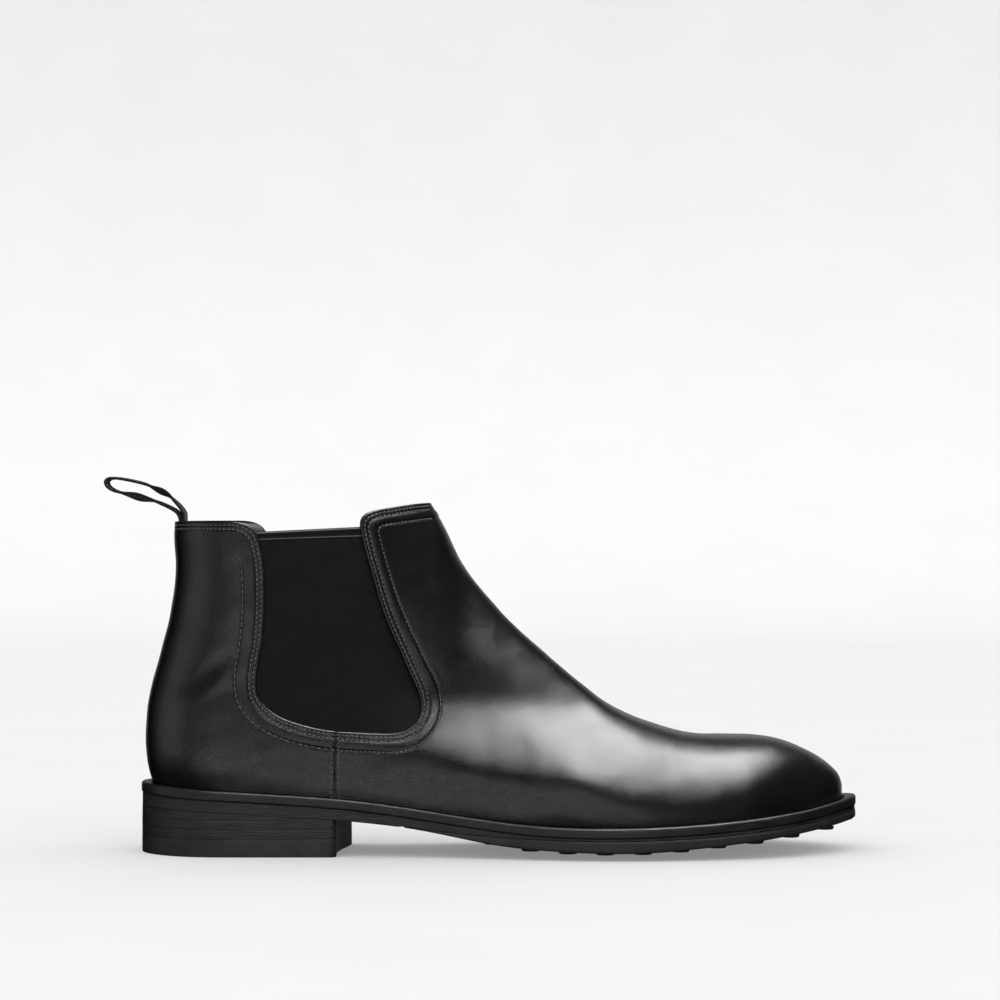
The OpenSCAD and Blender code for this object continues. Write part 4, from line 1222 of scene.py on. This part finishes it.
# sock liner, slightly dished and crowned at its edge
V, F = slab(lambda i: foot_loop(4.6, NS) - loop_normals(foot_loop(4.6, NS)) * i, lambda x, y: mid_top(x) + 5.45, lambda x, y: mid_top(x) + 6.65, 0.4, NS, 0.0, 14,
            hi_in=lambda x, y: mid_top(x) + 6.65 - 0.25 * np.exp(-((x - 40) / 26) ** 2 - (y / 16) ** 2) - 0.2 * np.exp(-((x - 205) / 30) ** 2 - (y / 22) ** 2))
piece("sock_liner_leather", V, F, M_SOCK, ("sock_liner",), sharp=40)


# =====================================================================================
# Pull loop: one woven tape out of the back seam, over the collar and back in
# =====================================================================================
PATH = np.array([(17.0, 138.6), (16.9, 140.6), (15.9, 143.2), (13.4, 145.2), (9.5, 147.1), (5.0, 148.9), (-1.5, 150.4), (-7.8, 151.9), (-12.0, 153.3), (-14.3, 155.0),
                 (-14.9, 156.9), (-13.8, 158.1), (-11.1, 158.4), (-5.6, 157.6), (1.4, 155.9), (5.6, 153.9), (11.0, 151.5), (14.3, 148.5), (16.6, 146.0), (18.2, 143.4), (18.3, 140.8), (18.3, 138.6)])


def tape_piece():
    t = spaced(PATH, 0.45)
    C = resample(PATH, t)
    T = np.gradient(C, axis=0)
    T /= np.linalg.norm(T, axis=1)[:, None]
    Nn = np.stack([-T[:, 1], T[:, 0]], 1)
    L = np.concatenate([[0], np.cumsum(np.linalg.norm(np.diff(C, axis=0), axis=1))])
    hw = 8.0 - 0.35 * np.sin(np.pi * L / L[-1]) ** 2
    th = 0.62
    # rounded tape section: (across -1..1, height)
    sec = [(-1, 0.0), (-0.992, 0.62), (-0.965, 0.95), (-0.90, 1.0)]
    sec += [(a, 1.0 - 0.10 * (1 - abs(a))) for a in np.linspace(-0.8, 0.8, 15)]
    sec += [(0.90, 1.0), (0.965, 0.95), (0.992, 0.62), (1, 0.0)]
    sec += [(a, -h) for a, h in sec[::-1][1:-1]]
    sec = np.array(sec)
    m = len(sec)
    # the tape rolls a little about its own line as it comes over the top
    half_way = np.argmin(C[:, 0])
    lower = np.arange(len(C)) < half_way
    roll = np.where(lower, 0.17 * np.exp(-((C[:, 0] + 1.5) / 5.5) ** 2), -0.15 * np.exp(-((C[:, 0] - 8.5) / 4.5) ** 2))
    V = np.zeros((len(C), m, 3))
    W = np.zeros((len(C), m, 3))
    for i in range(len(C)):
        y = sec[:, 0] * hw[i]
        h = sec[:, 1] * th + y * math.sin(roll[i])
        V[i, :, 0] = C[i, 0] + Nn[i, 0] * h
        V[i, :, 2] = C[i, 1] + Nn[i, 1] * h
        V[i, :, 1] = y
        W[i] = np.column_stack([np.full(m, L[i]), y, sec[:, 1]]) / 1000
    F = []
    for i in range(len(C) - 1):
        for j in range(m):
            k = (j + 1) % m
            F.append([i * m + j, i * m + k, (i + 1) * m + k, (i + 1) * m + j])
    F.append([j for j in range(m)][::-1])
    F.append([(len(C) - 1) * m + j for j in range(m)])
    return V.reshape(-1, 3), F, W.reshape(-1, 3)


V, F, Wb = tape_piece()
loop = piece("pull_loop_tape", V, F, M_TAPE, (), body=None, sharp=60, web=Wb)
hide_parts("pull_loop")
bm = bmesh.new()
bm.from_mesh(loop.data)
bmesh.ops.recalc_face_normals(bm, faces=bm.faces[:])
bm.to_mesh(loop.data)
bm.free()


# =====================================================================================
# Stitching
# =====================================================================================
def seam_points(curve, s, pitch, rel=0.0):
    """Points every pitch mm along a side line (x, z) laid on the skin, with the normals there."""
    curve = np.asarray(curve, float)
    n = 2500
    t = np.linspace(0, len(curve) - 1, n)
    C = resample(curve, t) if len(curve) > 2 else curve[0] + (curve[1] - curve[0]) * (t / t[-1])[:, None]
    P = on_skin(C[:, 0], C[:, 1], s)
    P = P[np.isfinite(P).all(1)]
    L = np.concatenate([[0], np.cumsum(np.linalg.norm(np.diff(P, axis=0), axis=1))])
    k = max(1, int(round(L[-1] / pitch)))
    q = np.linspace(0, L[-1], 2 * k + 1)
    Q = np.stack([np.interp(q, L, P[:, i]) for i in range(3)], 1)
    # normals by small steps
    cx, cz = np.interp(q, L, C[:len(P), 0]), np.interp(q, L, C[:len(P), 1])
    e = 0.15
    du = on_skin(cx + e, cz, s) - on_skin(cx - e, cz, s)
    dv = on_skin(cx, cz + e, s) - on_skin(cx, cz - e, s)
    N = np.cross(du, dv)
    N *= np.sign(N[:, 1:2] * s + 1e-12)
    N /= np.maximum(np.linalg.norm(N, axis=1), 1e-9)[:, None]
    Q = Q + N * (waves(cx, cz, s) + rel)[:, None]
    return Q, N, k


STITCH_V, STITCH_F = [], []


def one_stitch(a, b, n, r):
    """A short thread bar from a to b, dipping into the leather at both ends."""
    d = b - a
    ln = np.linalg.norm(d)
    if ln < 1e-6:
        return
    d = d / ln
    side = np.cross(n, d)
    side /= max(np.linalg.norm(side), 1e-9)
    n = np.cross(d, side)
    base = sum(len(v) for v in STITCH_V[-1:]) and one_stitch.count
    rows = [(-0.02, -0.50, 0.55), (0.10, -0.02, 0.9), (0.30, 0.16, 1.0), (0.5, 0.20, 1.02), (0.70, 0.16, 1.0), (0.90, -0.02, 0.9), (1.02, -0.50, 0.55)]
    ang = np.arange(7) * 2 * np.pi / 7
    V = []
    for t, h, w in rows:
        c = a + d * ln * t + n * (h * r * 1.7)
        V.append(c + r * w * (np.cos(ang)[:, None] * side + 0.9 * np.sin(ang)[:, None] * n))
    k = one_stitch.count
    STITCH_V.append(np.concatenate(V))
    for i in range(len(rows) - 1):
        for j in range(7):
            q = (j + 1) % 7
            STITCH_F.append([k + i * 7 + j, k + i * 7 + q, k + (i + 1) * 7 + q, k + (i + 1) * 7 + j])
    STITCH_F.append([k + j for j in range(7)][::-1])
    STITCH_F.append([k + (len(rows) - 1) * 7 + j for j in range(7)])
    one_stitch.count += len(rows) * 7


one_stitch.count = 0


def stitch_row(curve, pitch=2.0, r=0.24, sides=(-1, 1), sink=-0.02, rel=-0.19):
    for s in sides:
        Q, N, k = seam_points(curve, s, pitch, rel)
        for i in range(k):
            a, b = Q[2 * i], Q[2 * i + 2]
            g = (b - a) * 0.17
            n = N[2 * i + 1]
            one_stitch(a + g - n * sink, b - g - n * sink, n, r)


def offset_curve(E, I, dist, t0=0, t1=None, step=1.0):
    """Line that runs dist mm inside the edge E, towards I (rows of two tables)."""
    t1 = len(E) - 1 if t1 is None else t1
    t = np.linspace(t0, t1, max(3, int((t1 - t0) * 3)))
    a, b = resample(E, t), resample(I, t)
    dist = np.interp(t, np.arange(len(E)), dist) if hasattr(dist, "__len__") else np.full(len(t), float(dist))
    d = b - a
    L = np.linalg.norm(d, axis=1)
    return a + d * (dist / 10.0)[:, None] if True else a + d / L[:, None] * dist[:, None]


for E, I, OV, last in ((VAMP_EDGE, VAMP_IN, OUT_V, 34.2), (QUARTER_EDGE, QUARTER_IN, OUT_Q, 31.4)):
    for dist in (1.6, 3.3):
        stitch_row(offset_curve(E, I, dist, 0, last), 2.0)
# outer row: from the side seam up to the collar band, where it turns and follows the collar
stitch_row(offset_curve(VAMP_EDGE, VAMP_IN, OUT_V, 0, 34.0), 1.9, 0.22)
stitch_row(offset_curve(QUARTER_EDGE, QUARTER_IN, OUT_Q, 0, 21.2), 2.7, 0.22)
# side seam rows down to the welt
for x in (82.2, 85.4):
    z0 = float(zb(x)) + 3.0
    stitch_row([(x, 50.6), (x, (50.6 + z0) / 2), (x, z0)], 2.1, 0.22, rel=-0.02)
SVv = np.concatenate(STITCH_V)
stitches = piece("upper_stitching", SVv, STITCH_F, M_THREAD, (), sharp=60)

# =====================================================================================
# CAD pieces that stay, with their materials
# =====================================================================================
KEEP = {"toe_puff": M_STIFF, "heel_counter": M_STIFF, "insole_board": M_BOARD, "shank": M_STEEL, "cork_filler": M_CORK,
        "top_lift_nails": M_BRASS, "loop_root": M_TAPE}
for name, mt_ in KEEP.items():
    for ob in bpy.data.objects:
        if ob.type == "MESH" and (ob.name == name or ob.name.startswith(name + ".") or ob.get("node") == name):
            for i in range(max(1, len(ob.material_slots))):
                if len(ob.material_slots) == 0:
                    ob.data.materials.append(mt_)
                else:
                    ob.material_slots[i].material = mt_

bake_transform(loop)

# =====================================================================================
# Floor, light and camera
# =====================================================================================
SC = bpy.context.scene
SC.view_settings.view_transform = "Standard"

fm, fnt, fb = material("studio_floor", (0.86, 0.86, 0.86), 0.62, Specular_IOR_Level=0.25)
fv = coords(fnt)
fn_ = noise(fnt, fv, 9, 3, 0.5)
fnt.links.new(ramp(fnt, fn_, [(0.3, (0.855, 0.855, 0.857)), (0.7, (0.875, 0.875, 0.875))]), fb.inputs["Base Color"])
# a sweep: flat floor that curves up into a wall behind, and the patch of floor round the boot
def stage_sheet(name, prof, xs, mirror):
    vs, fs = [], []
    for x in xs:
        vs += [(x, y, z) for y, z in prof]
    kk = len(prof)
    for i in range(len(xs) - 1):
        for j in range(kk - 1):
            fs.append([i * kk + j, (i + 1) * kk + j, (i + 1) * kk + j + 1, i * kk + j + 1])
    me = bpy.data.meshes.new(name)
    me.from_pydata(vs, [], fs)
    me.update()
    me.shade_smooth()
    ob = bpy.data.objects.new(name, me)
    SC.collection.objects.link(ob)
    dress(ob, fm)
    ob.visible_glossy = mirror
    return ob


prof = [(-3.2, 0.0), (-1.5, 0.0), (0.0, 0.0), (1.2, 0.0), (2.2, 0.0)]
prof += [(2.2 + 1.2 * math.sin(a), 1.2 - 1.2 * math.cos(a)) for a in np.linspace(0, math.pi / 2, 14)[1:]] + [(3.4, 4.2)]
stage_sheet("studio_sweep", [(y, z - 0.0004) for y, z in prof], (-4.5, -1.5, 0.11, 1.7, 4.7), False)
stage_sheet("studio_floor_patch", [(-0.62, -0.00002), (-0.2, -0.00002), (0.2, -0.00002), (0.45, -0.00002)], (-0.75, -0.2, 0.4, 0.95), False)


def area_light(name, loc, target, size, power, spread=180):
    d = bpy.data.lights.new(name, "AREA")
    d.shape = "RECTANGLE"
    d.size, d.size_y = size
    d.energy = power
    d.spread = math.radians(spread)
    o = bpy.data.objects.new(name, d)
    SC.collection.objects.link(o)
    o.location = loc
    o.visible_camera = False
    o.rotation_euler = (Vector(target) - Vector(loc)).to_track_quat("-Z", "Y").to_euler()
    return o


def only_on(light, names, pieces):
    """The light falls on these pieces alone."""
    c = bpy.data.collections.new(names)
    for o in pieces:
        c.objects.link(o)
    light.light_linking.receiver_collection = c


STAGE = [o for o in bpy.data.objects if o.name.startswith("studio_") and o.type == "MESH"]
BOOT = [o for o in bpy.data.objects if o.type == "MESH" and o not in STAGE]
key = area_light("key_soft", (0.42, -0.02, 1.35), (0.42, -0.021, 0.0), (0.62, 1.5), 47)
low = area_light("low_front_soft", (-0.45, -2.1, -0.30), (-0.05, 0.0, 0.0), (2.3, 0.66), 10)
brow = area_light("front_soft", (0.26, -1.0, 1.38), (0.10, 0.0, 0.05), (0.5, 0.75), 15)
left = area_light("left_soft", (-1.9, -0.35, 0.2), (0.0, 0.0, 0.08), (1.7, 0.9), 4.2)
far = area_light("far_side_soft", (0.2, 2.1, 0.25), (0.08, 0.0, 0.06), (2.2, 0.9), 3.2)
only_on(far, "lit_by_far", BOOT)
only_on(key, "lit_by_key", BOOT)
only_on(low, "lit_by_low", BOOT)
only_on(brow, "lit_by_brow", BOOT)
only_on(left, "lit_by_left", BOOT)
for lamp in (low, left, far):                                             # the sheet does not cut these two off
    lamp.light_linking.blocker_collection = lamp.light_linking.receiver_collection
# even light on the sheet that the boot does not shade: it keeps the shadow soft
fill = bpy.data.objects.new("stage_fill", bpy.data.lights.new("stage_fill", "SUN"))
SC.collection.objects.link(fill)
fill.data.energy = 0.89
fill.data.angle = 0.3
fill.rotation_euler = (0, 0, 0)
only_on(fill, "lit_by_fill", STAGE)
fill.light_linking.blocker_collection = fill.light_linking.receiver_collection

wd = bpy.data.worlds.new("studio_world")
SC.world = wd
wd.use_nodes = True
wd.node_tree.nodes["Background"].inputs["Color"].default_value = (1, 1, 1, 1)
wd.node_tree.nodes["Background"].inputs["Strength"].default_value = 0.948
wd.cycles_visibility.glossy = False

cam_d = bpy.data.cameras.new("camera")
cam_d.lens = 128.8
cam_d.sensor_width = 36
cam_d.clip_start, cam_d.clip_end = 0.05, 30
cam = bpy.data.objects.new("camera", cam_d)
SC.collection.objects.link(cam)
cam.location = (0.1107, -1.526, 0.1491)
cam.rotation_euler = (math.pi / 2, 0, 0)
SC.camera = cam
